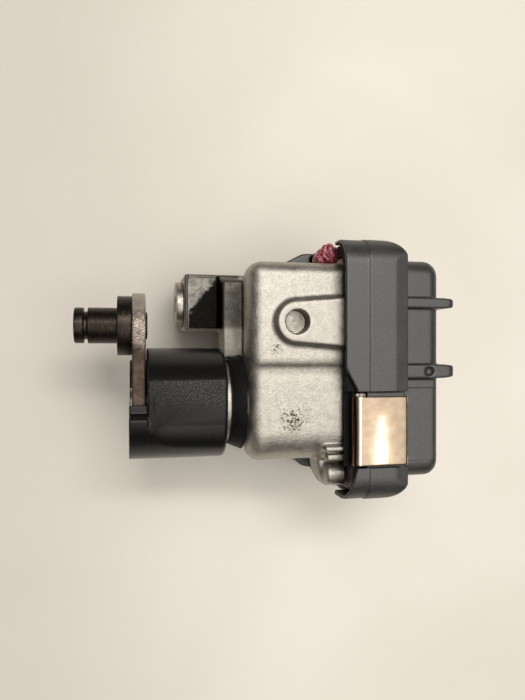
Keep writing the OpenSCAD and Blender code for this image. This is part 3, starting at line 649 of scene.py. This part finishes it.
def cast_ear(g):
    """The screw ear below the shaft: a boss along X on a web, with two stepped ridges beside it."""
    end = HOUSING_HIGH[0] - 2.6
    plan = convex(g.x, g.y, [(25.4, -12), (25.4, -18.5), (25.9, -22), (26.8, -26), (28.6, -29.2),
                             (end, -29.4), (end, -12)])
    web = meet(plan, slab(g.z, (-2.0, 8.8)), 1.6)
    ear = join(web, rod(g, (28, EAR_END), EAR_BOSS, EAR_BOSS_R, 1.4), 1.0)
    for start, y, top in EAR_RIDGES:
        ear = join(ear, prism(g, (start, end), y, (2.0, top), 1.1, 1.0), 0.6)
    return ear


def housing_hollows(g):
    """Bores, pockets and the motor chamber, all open towards the cover."""
    end = HOUSING_HIGH[0] + 2
    bearing_r, bore_r, ring_in, ring_out = 9.0, 7.0, 11.0, 14.0
    bores = join(rod(g, (-12, 9.5), (0, 0), bearing_r), rod(g, (0, end), (0, 0), bore_r))
    bores = join(bores, rod(g, (25.5, end), (0, 0), bearing_r))
    motor = rod(g, (6.2, end), MOTOR_AT, (MOTOR_HIGH[1] - MOTOR_LOW[1]) / 2 + 0.3)
    ring = meet(rod(g, (7.5, end), (0, 0), ring_out), -disc(g.y, g.z, (0, 0), ring_in))
    pocket = cut(ring, ring_in - g.y)
    leg_hole = rod(g, (HOUSING_LOW[0] - 2, 5.5), LEG_AT, SLEEVE_R)
    axle = rod(g, (AXLE_LOW[0], end), AXLE_AT, 2.0)
    hollows = bores
    for more in (motor, pocket, leg_hole, axle):
        hollows = join(hollows, more)
    return hollows


def housing_blocks(g):
    """The two rounded blocks side by side, whose front leans back below its middle."""
    chamber = outline(g.y, g.z, CHAMBER, (FAR_FACE, NEAR_FACE), 5.0)
    chest = outline(g.y, g.z, CHEST, (FAR_FACE, CHEST_FACE), 11.0)
    section = join(chamber, chest, 0.9 * np.clip((g.z - 2) / 8, 0, 1))
    front = np.maximum(-g.x, (0.18 * (8.5 - g.z) - g.x) * 0.984)
    return meet(section, np.maximum(front, g.x - BODY_END - 2), 5.2)


def cast_leg(g):
    """The leg with its tray towards the camera; the tray's dark corner is painted shadow."""
    y, z = (25.2, 46.3), (-36.0, -15.0)
    leg = prism(g, (HOUSING_LOW[0], 6), y, z, 1.6, 1.0)
    floor = outline(g.x, g.y, (HOUSING_LOW[0] + 1.0, -5.4), (y[0] + 1.1, y[1] - 1.1), 1.2)
    tray = meet(floor, z[1] - 0.55 - g.z, 0.3)
    return cut(leg, tray, 0.3)


def make_housing():
    """The die-cast body: two blocks with pad, plateau, leg, ear and flange grown from them."""
    g = Grid(HOUSING_LOW, HOUSING_HIGH, 0.4)
    body = join(housing_blocks(g), cast_pad(g), 1.4)
    body = join(body, rod(g, (-9.4, 5), (0, 0), PILOT_R, 0.6), 0.4)
    plateau = prism(g, (-4.9, 6), (14, 43.7), (-18.5, -6.5), 1.8, 1.0)
    body = join(body, cut(plateau, rod(g, (-8, 0), (0, 0), 16.6), 0.2), 1.4)
    body = join(body, cast_leg(g), 1.4)
    body = join(body, cast_ear(g), 1.2)
    flange_y, flange_z = (HOUSING_LOW[1], HOUSING_HIGH[1]), (HOUSING_LOW[2], NEAR_FACE + 2.5)
    body = join(body, prism(g, (BODY_END, HOUSING_HIGH[0]), flange_y, flange_z, 4.8, 0.5), 0.8)
    bar = prism(g, (BODY_END, HOUSING_HIGH[0] - 0.6), (CLIP_Y[0] + 1, RECESS_Y[1] - 0.3),
                (NEAR_FACE, HOUSING_HIGH[2]), 0.3, 0.3)
    for x in (BODY_END + 1.1, BODY_END + 2.5):
        bar = cut(bar, meet(slab(g.x, (x - 0.3, x + 0.3)), HOUSING_HIGH[2] - 0.7 - g.z), 0.1)
    body = join(body, bar)
    hole = meet(disc(g.x, g.y, PAD, PAD_HOLE_R), PAD_HOLE_BOTTOM - g.z)
    body = cut(cut(body, hole, 0.12), housing_hollows(g), 0.3)
    return skin(g, body, "housing_casting")


def make_pad_bore():
    """The turned bottom and wall of the blind hole, with the drill's centre mark."""
    bottom, wall = PAD_HOLE_BOTTOM, PAD_HOLE_R
    profile = [(bottom - 0.3, 0.02), (bottom + 0.16, 0.35), (bottom + 0.2, 0.8)]
    profile += [(bottom + 0.2 + 0.02 * math.sin(r * 9), r) for r in np.arange(0.9, wall - 0.4, 0.08)]
    profile += [(bottom + 0.25, wall - 0.3), (bottom + 0.6, wall - 0.06), (PAD_TOP - 0.5, wall - 0.04),
                (PAD_TOP - 0.12, wall + 0.12), (PAD_TOP - 0.5, wall + 0.2), (bottom - 0.3, wall + 0.2)]
    bore = lathe("pad_bore", profile + [profile[0]], (0, 0))
    turn = Vector((0, 0, 1)).rotation_difference(Vector((1, 0, 0))).inverted()
    bore.data.transform(turn.to_matrix().to_4x4())
    bore.data.transform(Matrix.Translation(Vector((PAD[0], PAD[1], 0)) * MM))
    return bore


COVER_Y = (COVER_LOW[1], COVER_HIGH[1])
COVER_Z = (COVER_LOW[2], CLIP_HIGH[2] - 0.4)
SKIRT_START = 31.0
STEP_X = 39.3             # where the skirt gets thicker
SHOULDER_X = CLIP_HIGH[0] + 0.6
DOME_END = COVER_HIGH[0] - 4.6
DOME_Y = (-25.8, 49.1)
DOME_Z = (-36.0, 18.5)
CORNER = 9.0
WALL = 1.8                # of the skirt
DOME_WALL = 2.4
POST_START = 54.8         # the board's screw posts
STRIP_T = 0.7
CLIP_FACE = CLIP_HIGH[2]
CLIP_LEG = 5.4
SEAT_HALF = 12.0          # the side clips' seats, half their width


def grow(span, by):
    return (span[0] - by, span[1] + by)


def cover_skirt(g):
    """The skirt: rounded along its length, thinner at its mouth, its far end drawn in on every side."""
    thick = outline(g.y, g.z, COVER_Y, COVER_Z, CORNER)
    thin = outline(g.y, g.z, grow(COVER_Y, -0.3), grow(COVER_Z, -0.3), CORNER)
    sides = np.where(g.x < STEP_X, thin, thick)
    ends_y = outline(g.x, g.y, (SKIRT_START - 20, SHOULDER_X), COVER_Y, 7.8)
    bevel_z = half_plane(g.x, g.z, (SHOULDER_X, COVER_Z[1] - 1.0), (SHOULDER_X - 4.9, COVER_Z[1]))
    far_z = half_plane(g.x, g.z, (SHOULDER_X - 7.0, COVER_Z[0]), (SHOULDER_X, COVER_Z[0] + 6.0))
    skirt = meet(sides, ends_y, 0.8)
    skirt = np.maximum(np.maximum(skirt, bevel_z), far_z)
    return meet(skirt, np.maximum(SKIRT_START - g.x, g.x - SHOULDER_X), 0.4)


def cover_dome(g):
    """The dome over the board, with shallow steps across its near face."""
    dome = prism(g, (SHOULDER_X - 6, DOME_END), DOME_Y, DOME_Z, 6.0, 4.6)
    for low, high, depth in ((-19.7, 5.0, 0.35), (5.0, 8.0, 0.7)):
        panel = meet(slab(g.y, (low, high)), np.maximum(DOME_Z[1] - depth - g.z, SHOULDER_X - g.x))
        dome = cut(dome, np.maximum(panel, g.x - DOME_END + 1.6), 0.15)
    return dome


def cover_rib(g, y, drawn_in):
    """A carrying rib on the end, with a rounded and slightly drawn-in tip."""
    shape = outline(g.x, g.z, (SHOULDER_X - 8, COVER_HIGH[0]), (6, 20.5), 3.0)
    taper = drawn_in * np.clip((g.x - DOME_END) / (COVER_HIGH[0] - DOME_END), 0, 1)
    return meet(shape, slab(g.y, y) + taper, 0.6)


def cover_wing(g):
    """The cheeks and the web on the far side, which reach forward and carry the connector."""
    top = COVER_Y[1]
    plan = convex(g.x, g.y, [(22.3, -22), (24.1, -23.9), (27.3, -26.8), (36, -28.7), (36, top), (30, top),
                             (27.4, top - 0.4), (19.8, top - 4.3)])
    wing = meet(meet(plan, outline(g.y, g.z, COVER_Y, (COVER_Z[0], 20), CORNER), 0.5), g.z + 16, 0.8)
    wing = cut(wing, meet(outline(g.y, g.z, (-21.0, 48.9), (-29, 5), 2), g.x - BODY_END - 6))
    inner = outline(g.y, g.z, grow(COVER_Y, -WALL), grow(COVER_Z, -WALL), CORNER - WALL)
    return cut(wing, np.maximum(inner, SKIRT_START - 0.3 - g.x))


def clip_seat(g, across, depth, y):
    """A clip's place in the skirt: across runs along its width, and depth is the way down from the face."""
    width = slab(across, y)
    mouth = np.maximum(slab(g.x, (SKIRT_START - 3, 38.4)), depth - 3.4)
    back = np.maximum(slab(g.x, (SKIRT_START - 3, SHOULDER_X + 3)), depth - STRIP_T - 0.7)
    end = np.maximum(slab(g.x, (CLIP_HIGH[0] - STRIP_T - 0.1, SHOULDER_X + 3)), depth - CLIP_LEG)
    return np.maximum(np.minimum(np.minimum(mouth, back), end), width)


def clip_windows(g):
    """The skirt's openings in front of the three clips, and the sunken seats behind them."""
    slant = convex(g.x, g.y, [(29, -36), (31.9, -33), (35.1, -20.2), (35, 4.8), (29, 16.1)])
    slant = np.maximum(slant, 8 - g.z)
    mouth = outline(g.x, g.y, (SKIRT_START - 2, 38.4), RECESS_Y, 0.2)
    mouth = np.minimum(slant, np.maximum(mouth, COVER_Z[1] - 6 - g.z))
    below = np.maximum(np.maximum(g.x - 36.4, g.y - COVER_Y[0] - 3.8), g.z - 8.02)
    mouth = np.minimum(mouth, below)
    near = clip_seat(g, g.y, COVER_Z[1] - g.z + 0.6, RECESS_Y)
    upper = clip_seat(g, g.z, COVER_Y[1] - g.y, (UPPER_CLIP_Z - SEAT_HALF, UPPER_CLIP_Z + SEAT_HALF))
    lower = clip_seat(g, g.z, g.y - COVER_Y[0], (LOWER_CLIP_Z - SEAT_HALF, LOWER_CLIP_Z + SEAT_HALF))
    return np.minimum(np.minimum(mouth, near), np.minimum(upper, lower))


def cover_hollow(g):
    """The space inside: the skirt's socket, the gear room, the dome and the connector's socket."""
    socket = prism(g, (SKIRT_START - 0.3, STEP_X + 0.3), grow(COVER_Y, -WALL),
                   grow(COVER_Z, -WALL), CORNER - WALL, 0.2)
    room = prism(g, (39, SHOULDER_X - 2.4), grow(COVER_Y, -4.4), grow(COVER_Z, -4.4), CORNER - 4.4, 0.5)
    dome = prism(g, (SHOULDER_X - 4, DOME_END - DOME_WALL), grow(DOME_Y, -DOME_WALL),
                 grow(DOME_Z, -DOME_WALL), 3.2, 1.0)
    plug = prism(g, (0, 25), (-6.2, 18.2), (COVER_Z[0] + WALL, -29.3), 1.5, 0.2)
    return np.minimum(np.minimum(socket, room), np.minimum(dome, plug))


def make_cover():
    """The glass-filled plastic cover with skirt, dome, ribs, cheeks and connector."""
    g = Grid(COVER_LOW, COVER_HIGH, 0.42)
    flare = np.clip((np.abs(g.y - np.mean(DOME_Y)) - np.ptp(DOME_Y) / 2 + 5) / 6, 0, 1)
    shell = join(cover_skirt(g), cover_dome(g), 0.4 + 2.2 * flare)
    shell = join(shell, cover_rib(g, (32.2, 35.8), 0.4), 0.6)
    shell = join(shell, cover_rib(g, (8.4, 13.1), 0.5), 0.6)
    shell = join(shell, cover_wing(g))
    shell = join(shell, prism(g, (COVER_LOW[0], SKIRT_START + 1), (-8, 20), (COVER_Z[0], -27.5), 3.0, 0.8))
    for k in range(4):
        bar = outline(g.x, g.y, (12.0 + 3.2 * k, 13.2 + 3.2 * k), (-6.5, 18.5), 0.5)
        shell = cut(shell, np.maximum(bar, g.z - COVER_Z[0] - 0.5), 0.1)
    shell = cut(shell, cover_hollow(g), 0.2)
    shell = cut(shell, clip_windows(g), 0.25)
    dimple = (SHOULDER_X + 8.9, 10.75, 20.9)
    ball = np.sqrt((g.x - dimple[0]) ** 2 + (g.y - dimple[1]) ** 2 + (g.z - dimple[2]) ** 2) - 1.75
    shell = cut(shell, ball, 0.2)
    posts = None
    for y in (DOME_Y[0] + 5.5, DOME_Y[1] - 5.5):
        for z in (DOME_Z[0] + 5.5, DOME_Z[1] - 5.5):
            post = cut(rod(g, (POST_START, DOME_END - 1), (y, z), 3.0, 0.2), disc(g.y, g.z, (y, z), 1.1))
            posts = post if posts is None else np.minimum(posts, post)
    return skin(g, np.minimum(shell, posts), "cover_moulding")


SHROUD_LEDGE = (88.5, 125)   # degrees round the shaft
SHROUD_WINDOW = -39


def make_shroud():
    """The cup round the return spring: a grained flat on its near side, a window that the lever swings in."""
    g = Grid(SHROUD_LOW, SHROUD_HIGH, 0.3)
    radius = (SHROUD_HIGH[1] - SHROUD_LOW[1]) / 2
    step = SHROUD_LOW[0] + 5.75
    radial = disc(g.y, g.z, (0, 0), radius)

    def past(degrees):
        """Negative beyond a half plane through the shaft's axis, in the sense that the lever turns."""
        a = math.radians(degrees)
        return g.y * math.sin(a) - g.z * math.cos(a)

    back = g.x - step
    facet = g.z + (0.043 - 0.0024 * back) * g.y - 17.3 + 0.027 * back
    soft = np.clip(2.2 - 0.45 * g.y, 0.25, 5.0) * np.clip(np.tanh(back / 5), 0.04, 1)
    cup = np.where(back > 0, meet(radial, facet, soft), radial)
    cup = meet(np.maximum(cup, SHROUD_LOW[0] - g.x), g.x - SHROUD_HIGH[0], 1.3)
    room = np.where(back > 0, radial + 3.1, radial + 2.2)
    room = np.where(g.x > SHROUD_HIGH[0] - 3, disc(g.y, g.z, (0, 0), PILOT_R + 0.05), room)
    cup = cut(cup, room, 0.2)
    web = np.maximum(radial + 1, slab(g.x, (step + 0.3, step + 1.9)))
    cup = join(cup, cut(web, disc(g.y, g.z, (0, 0), 6.0)), 0.4)
    ledge = cut(np.maximum(radial + 1, slab(g.x, (SHROUD_LOW[0], step + 0.5))), disc(g.y, g.z, (0, 0), 14.4))
    ledge = np.maximum(ledge, np.maximum(past(SHROUD_LEDGE[0]), -past(SHROUD_LEDGE[1])))
    wall = half_plane(g.y, g.z, (-3.9, 18.2), (-2.0, 15.1))
    outside = np.maximum(back, -disc(g.y, g.z, (0, 0), 15.3))
    window = np.maximum(np.maximum(past(SHROUD_WINDOW), wall), outside)
    return skin(g, cut(np.minimum(cup, ledge), window, 0.25), "spring_cup")


LEVER_PLATE = (LEVER_LOW[0], LEVER_HIGH[0])


def make_lever():
    """The lever: an eye, a waist and a hub cut from plate, with its edges broken by hand."""
    g = Grid(LEVER_LOW, LEVER_HIGH, 0.28)
    eye = disc(g.y, g.z, PIN_AT, 11.0)
    hub = disc(g.y, g.z, (0, 0), -LEVER_LOW[1])
    arm = outline(g.y, g.z, (0, PIN_AT[0]), (-9.5, 9.5), 0.5)
    plan = join(join(eye, arm, 6.0), hub, 2.0)
    plan = cut(plan, disc(g.y, g.z, (0, 0), 5.02), 0.3)
    plan = cut(plan, disc(g.y, g.z, PIN_AT, 4.02), 0.3)
    return skin(g, meet(plan, slab(g.x, LEVER_PLATE), 0.55), "lever_plate")


def make_link_pin():
    """The link pin: headed, grooved, with a collar against the lever and a peened end behind it."""
    start, front, back = PIN_LOW[0], LEVER_LOW[0] - 0.02, LEVER_HIGH[0]
    collar = (PIN_HIGH[1] - PIN_LOW[1]) / 2
    profile = turned([(start, 0.02), (start, 5.95), (start + 3, 5.95), (start + 3, 4.65), (start + 4.3, 4.65),
                      (start + 4.3, 6.0), (start + 13.8, 6.0), (start + 13.8, collar), (front, collar),
                      (front, 4.0), (back, 4.0), (back, 4.6), (PIN_HIGH[0], 4.6), (PIN_HIGH[0], 0.02)], 0.28)
    return lathe("link_pin_turned", profile, PIN_AT)


def make_bush():
    """The bush in the leg: a flanged sleeve with a broken mouth."""
    x0, x1 = BUSH_LOW[0], BUSH_HIGH[0]
    flange = (BUSH_HIGH[1] - BUSH_LOW[1]) / 2
    bore = 3.3
    corners = [(x0 + 1, bore), (x0, bore), (x0, flange), (x0 + 2.68, flange), (x0 + 2.68, SLEEVE_R),
               (x1, SLEEVE_R), (x1, bore), (x0 + 1, bore)]
    return lathe("leg_sleeve", turned(corners, 0.35), LEG_AT)


def make_boss_ring():
    """The rubber cone round the pilot boss, with a small lip at its thin end."""
    x0, x1 = BOSS_LOW[0], BOSS_HIGH[0]
    wide = (BOSS_HIGH[1] - BOSS_LOW[1]) / 2
    inner = PILOT_R + 0.04
    corners = [(x0 + 1, inner), (x0, inner), (x0, 14.5), (x0 + 0.7, 14.55), (x0 + 0.9, 14.75),
               (x1 - 0.02, wide), (x1 - 0.02, inner), (x0 + 1, inner)]
    return lathe("boss_ring", turned(corners, 0.06), (0, 0))


def strip_profile():
    """The near clip's middle line, from its hooked front end over its back to its far end."""
    top = CLIP_FACE - STRIP_T / 2
    front, end = CLIP_LOW[0] + STRIP_T / 2, CLIP_HIGH[0] - STRIP_T / 2
    corners = [(front + 1.1, top - 4.6), (front + 0.1, top - 4.0), (front + 0.1, top),
               (end, top), (end, top - 3.9)]
    return rounded(corners, (0.7, 1.9, 0.75), 7)


def make_clip(name, place):
    """One spring clip: a strip bent to shape, slightly crowned, with rounded long edges."""
    half, thick = (CLIP_Y[1] - CLIP_Y[0]) / 2, STRIP_T / 2 - 0.02
    line = strip_profile()
    spots = []
    for i, spot in enumerate(line):
        before, after = line[max(i - 1, 0)], line[min(i + 1, len(line) - 1)]
        along = (after - before).normalized()
        spots.append((spot, Vector((-along.y, along.x))))
    dense = []
    for (a, na), (b, nb) in zip(spots, spots[1:]):
        n = max(1, int((b - a).length / 0.8))
        dense += [(a.lerp(b, k / n), na.lerp(nb, k / n).normalized()) for k in range(n)]
    dense.append(spots[-1])
    across = [-half, -half + 0.15] + list(np.linspace(-half + 0.6, half - 0.6, 19)) + [half - 0.15, half]
    middle_x = (CLIP_LOW[0] + CLIP_HIGH[0]) / 2
    bm = bmesh.new()
    sides = {1: [], -1: []}
    for spot, normal in dense:
        along = (spot.x - middle_x) / 9.0
        on_back = abs(along) < 1.1 and spot.y > CLIP_FACE - 0.8
        for side in sides:
            ring = []
            for y in across:
                rim = 0.5 if abs(y) == half else 1.0
                crown = (0.16 * along * along + 0.10 * (y / half) ** 2) * on_back
                point = spot + normal * side * thick * rim
                ring.append(bm.verts.new(place(point.x, y, point.y - crown)))
            sides[side].append(ring)
    last = len(across) - 1
    for rings in sides.values():
        for one, two in zip(rings, rings[1:]):
            for k in range(last):
                bm.faces.new((one[k], one[k + 1], two[k + 1], two[k]))
    for one in range(len(dense) - 1):
        for k in (0, last):
            bm.faces.new((sides[1][one][k], sides[1][one + 1][k], sides[-1][one + 1][k], sides[-1][one][k]))
    for row in (0, -1):
        for k in range(last):
            bm.faces.new((sides[1][row][k], sides[1][row][k + 1], sides[-1][row][k + 1], sides[-1][row][k]))
    return from_bmesh(name, bm, 50)


def near_place(x, y, z):
    return Vector((x, y + (CLIP_Y[0] + CLIP_Y[1]) / 2, z)) * MM


def upper_place(x, y, z):
    return Vector((x, z - CLIP_FACE + CLIP_HIGH[1], y + UPPER_CLIP_Z)) * MM


def lower_place(x, y, z):
    return Vector((x, CLIP_FACE - z + CLIP_LOW[1], y + LOWER_CLIP_Z)) * MM


def make_tamper_seal():
    """A blob of sealing lacquer that has crumpled as it dried."""
    low, high = TAMPER_LOW, TAMPER_HIGH
    g = Grid(low, high, 0.2, 1.0)
    field = None
    for x, y, z, r in TAMPER_LUMPS:
        ball = np.sqrt((g.x - x) ** 2 + (g.y - y) ** 2 + (g.z - z) ** 2) - r
        field = ball if field is None else join(field, ball, 1.4)
    folds = np.abs(np.sin(0.95 * g.x + 0.3 * g.y + 0.9 * np.sin(0.7 * g.y + 0.3 * g.z)))
    return skin(g, field + 0.8 * (1 - folds) - 0.35, "sealing_lacquer")


def make_spring():
    """The return spring: closed coils of round wire."""
    low, high = limits("return_spring")
    wire = 1.1
    radius = (high[1] - low[1]) / 2 - wire
    turns, steps, sides = 6, 40, 12
    bm = bmesh.new()
    rings = []
    total = turns * steps
    for i in range(total + 1):
        a = 2 * math.pi * i / steps
        x = low[0] + wire + (high[0] - low[0] - 2 * wire) * i / total
        centre = Vector((x, radius * math.cos(a), radius * math.sin(a)))
        out = Vector((0, math.cos(a), math.sin(a)))
        ring = [bm.verts.new((centre + wire * (out * math.cos(2 * math.pi * k / sides)
                                               + Vector((1, 0, 0)) * math.sin(2 * math.pi * k / sides))) * MM)
                for k in range(sides)]
        rings.append(ring)
    for one, two in zip(rings, rings[1:]):
        for k in range(sides):
            bm.faces.new((one[k], one[(k + 1) % sides], two[(k + 1) % sides], two[k]))
    bm.faces.new(rings[0])
    bm.faces.new(list(reversed(rings[-1])))
    return from_bmesh("spring_coils", bm, 60)


# ---------------------------------------------------------------- putting it together

CAST = cast_aluminium()
BORE = turned_aluminium("turned_bore", PAD)
COVER = cover_plastic()
SHROUD = shroud_plastic()
STEEL = metal("machined_steel", rgb(196, 194, 190), rgb(140, 136, 130), 0.28)
SPRING = metal("spring_steel", rgb(92, 94, 98), rgb(54, 52, 50), 0.34)
RUBBER = rubber()

show(make_housing(), "base", CAST, "cast_aluminium", "housing")
show(make_pad_bore(), "base", BORE, "machined_aluminium")
show(make_cover(), "base", COVER, "cover_plastic", "cover")
show(make_shroud(), "base", SHROUD, "shroud_plastic", "spring_shroud")
CLIP = clip_steel()
show(make_clip("clip_near", near_place), "base", CLIP, "spring_clip", "cover_clips")
show(make_clip("clip_upper", upper_place), "base", CLIP, "spring_clip")
show(make_clip("clip_lower", lower_place), "base", CLIP, "spring_clip")
show(make_tamper_seal(), "base", lacquer(), "red_lacquer", "tamper_seal")
BUSH = metal("bush_steel", rgb(176, 172, 164), rgb(110, 102, 92), 0.42, 0.6)
show(make_bush(), "base", BUSH, "bearing_steel", "leg_bush")
show(make_boss_ring(), "base", RUBBER, "black_rubber", "boss_seal")
show(make_spring(), "base", SPRING, "spring_steel", "return_spring")
show(make_lever(), "output", lever_steel(), "zinc_steel", "lever")
show(make_link_pin(), "output", blackened_steel(), "dark_steel", "link_pin")

MAGNET = metal("magnet", rgb(88, 88, 92), rgb(60, 60, 62), 0.42)
BRASS = metal("brass", rgb(204, 168, 96), rgb(150, 112, 56), 0.3)
PLATED = metal("plated_steel", rgb(188, 190, 192), rgb(150, 146, 132), 0.32)
SHEET = metal("sheet_steel", rgb(174, 172, 168), rgb(126, 122, 114), 0.36, stretch=(4, 0.4, 0.4))
GEAR = plain("gear_plastic", rgb(214, 206, 186), rgb(196, 184, 158), 0.42)
DARK_CAP = plain("dark_cap", rgb(34, 34, 36), rgb(52, 52, 52), 0.45)
CHIP = plain("chip_plastic", rgb(24, 24, 26), rgb(38, 38, 40), 0.5)
CAN = metal("capacitor_can", rgb(200, 200, 202), rgb(160, 158, 154), 0.3)
CARBON = plain("carbon", rgb(38, 37, 36), rgb(58, 56, 54), 0.6)
COMMUTATOR = metal("commutator", rgb(206, 120, 70), rgb(140, 70, 38), 0.3)

DRESSED = {
    "cover_seal": (RUBBER, 0.15), "shaft_seal": (RUBBER, 0.15),
    "front_bearing": (STEEL, 0.15), "rear_bearing": (STEEL, 0.15), "output_shaft": (STEEL, 0.2),
    "gear_axle": (STEEL, 0.1), "axle_washer": (PLATED, 0.05), "axle_clip": (SPRING, 0.05),
    "motor_can": (SHEET, 0.2), "motor_magnets": (MAGNET, 0.1), "motor_end_cap": (DARK_CAP, 0.1),
    "motor_brushes": (CARBON, 0.05), "motor_terminals": (BRASS, 0.05), "motor_front_bush": (BRASS, 0.08),
    "motor_rear_bush": (BRASS, 0.08), "motor_wave_spring": (SPRING, 0.04), "motor_clamp": (SHEET, 0.1),
    "motor_screws": (PLATED, 0.1), "circuit_board": (board_finish(), 0.05), "board_screws": (PLATED, 0.1),
    "microcontroller": (CHIP, 0.08), "motor_driver": (CHIP, 0.08), "position_sensor": (CHIP, 0.05),
    "board_capacitors": (CAN, 0.2), "connector_pins": (BRASS, 0.08),
    "sector_gear": (GEAR, 0.08), "sensor_magnet": (MAGNET, 0.1), "thrust_washer": (PLATED, 0.05),
    "intermediate_gear": (GEAR, 0.06), "motor_shaft": (STEEL, 0.08), "motor_armature": (SHEET, 0.08),
    "motor_windings": (windings_finish(), 0.3), "motor_commutator": (COMMUTATOR, 0.05),
    "motor_pinion": (BRASS, 0.04),
}
for node, (finish, edge) in DRESSED.items():
    dress(node, finish, edge)


# ---------------------------------------------------------------- floor, light and camera

def make_floor():
    """A large pale surface, very slightly uneven, under the part."""
    bm = bmesh.new()
    bmesh.ops.create_grid(bm, x_segments=60, y_segments=60, size=1.5)
    flat_radius, gap = 0.12, 0.0002
    for v in bm.verts:
        away = math.hypot(v.co.x, v.co.y)
        swell = 0.0006 * math.sin(23 * v.co.x + 4 * math.sin(9 * v.co.y)) * math.sin(17 * v.co.y)
        v.co.z = COVER_LOW[2] * MM - gap + swell * min(max(away - flat_radius, 0) / 0.2, 1)
    floor = from_bmesh("floor", bm, 60)
    floor.data.materials.append(floor_finish())


def add_light(name, place, target, size, power, colour):
    light = bpy.data.lights.new(name, "AREA")
    light.shape = "RECTANGLE"
    light.size, light.size_y = size
    light.energy = power
    light.color = colour
    lamp = bpy.data.objects.new(name, light)
    bpy.context.scene.collection.objects.link(lamp)
    lamp.location = place
    lamp.rotation_euler = (Vector(target) - Vector(place)).to_track_quat("-Z", "Y").to_euler()


def make_room():
    """A bright ceiling that fades towards the horizon, and most of all on the left."""
    world = bpy.data.worlds.new("room")
    world.use_nodes = True
    tree = world.node_tree
    split = tree.nodes.new("ShaderNodeSeparateXYZ")
    tree.links.new(tree.nodes.new("ShaderNodeTexCoord").outputs["Generated"], split.inputs[0])
    parts = []
    fades = {"Z": (0.55, 0.99, 0.08, 2.35), "X": (-0.6, 0.1, 0.25, 1.0)}  # from, to, and the strength at each
    for axis, steps in fades.items():
        fade = tree.nodes.new("ShaderNodeMapRange")
        fade.interpolation_type = "SMOOTHSTEP"
        tree.links.new(split.outputs[axis], fade.inputs["Value"])
        for socket, number in zip(("From Min", "From Max", "To Min", "To Max"), steps):
            fade.inputs[socket].default_value = number
        parts.append(fade.outputs["Result"])
    product = tree.nodes.new("ShaderNodeMath")
    product.operation = "MULTIPLY"
    for i, part in enumerate(parts):
        tree.links.new(part, product.inputs[i])
    background = tree.nodes["Background"]
    background.inputs["Color"].default_value = (1.0, 0.965, 0.91, 1)
    tree.links.new(product.outputs[0], background.inputs["Strength"])
    bpy.context.scene.world = world


make_floor()
make_room()
WARM = (1.0, 0.96, 0.9)
add_light("lamp", (0.438, -0.18, 0.944), (0.03, -0.18, 0), (0.16, 0.01), 0.12, WARM)
add_light("lamp_end", (0.438, -0.215, 0.944), (0.03, -0.215, 0), (0.09, 0.024), 0.12, WARM)
add_light("tube", (0.03, 0.40, 0.85), (0.01, 0.01, 0), (0.6, 0.12), 3.0, (1.0, 0.97, 0.93))
bpy.context.scene.view_settings.view_transform = "Standard"

camera = bpy.data.objects.new("camera", bpy.data.cameras.new("camera"))
bpy.context.scene.collection.objects.link(camera)
camera.data.sensor_width = 36
camera.data.lens = 30.86
camera.location = (-0.03625, 0.018, 0.208)
camera.rotation_euler = (0, math.radians(-12.09), 0)
bpy.context.scene.camera = camera
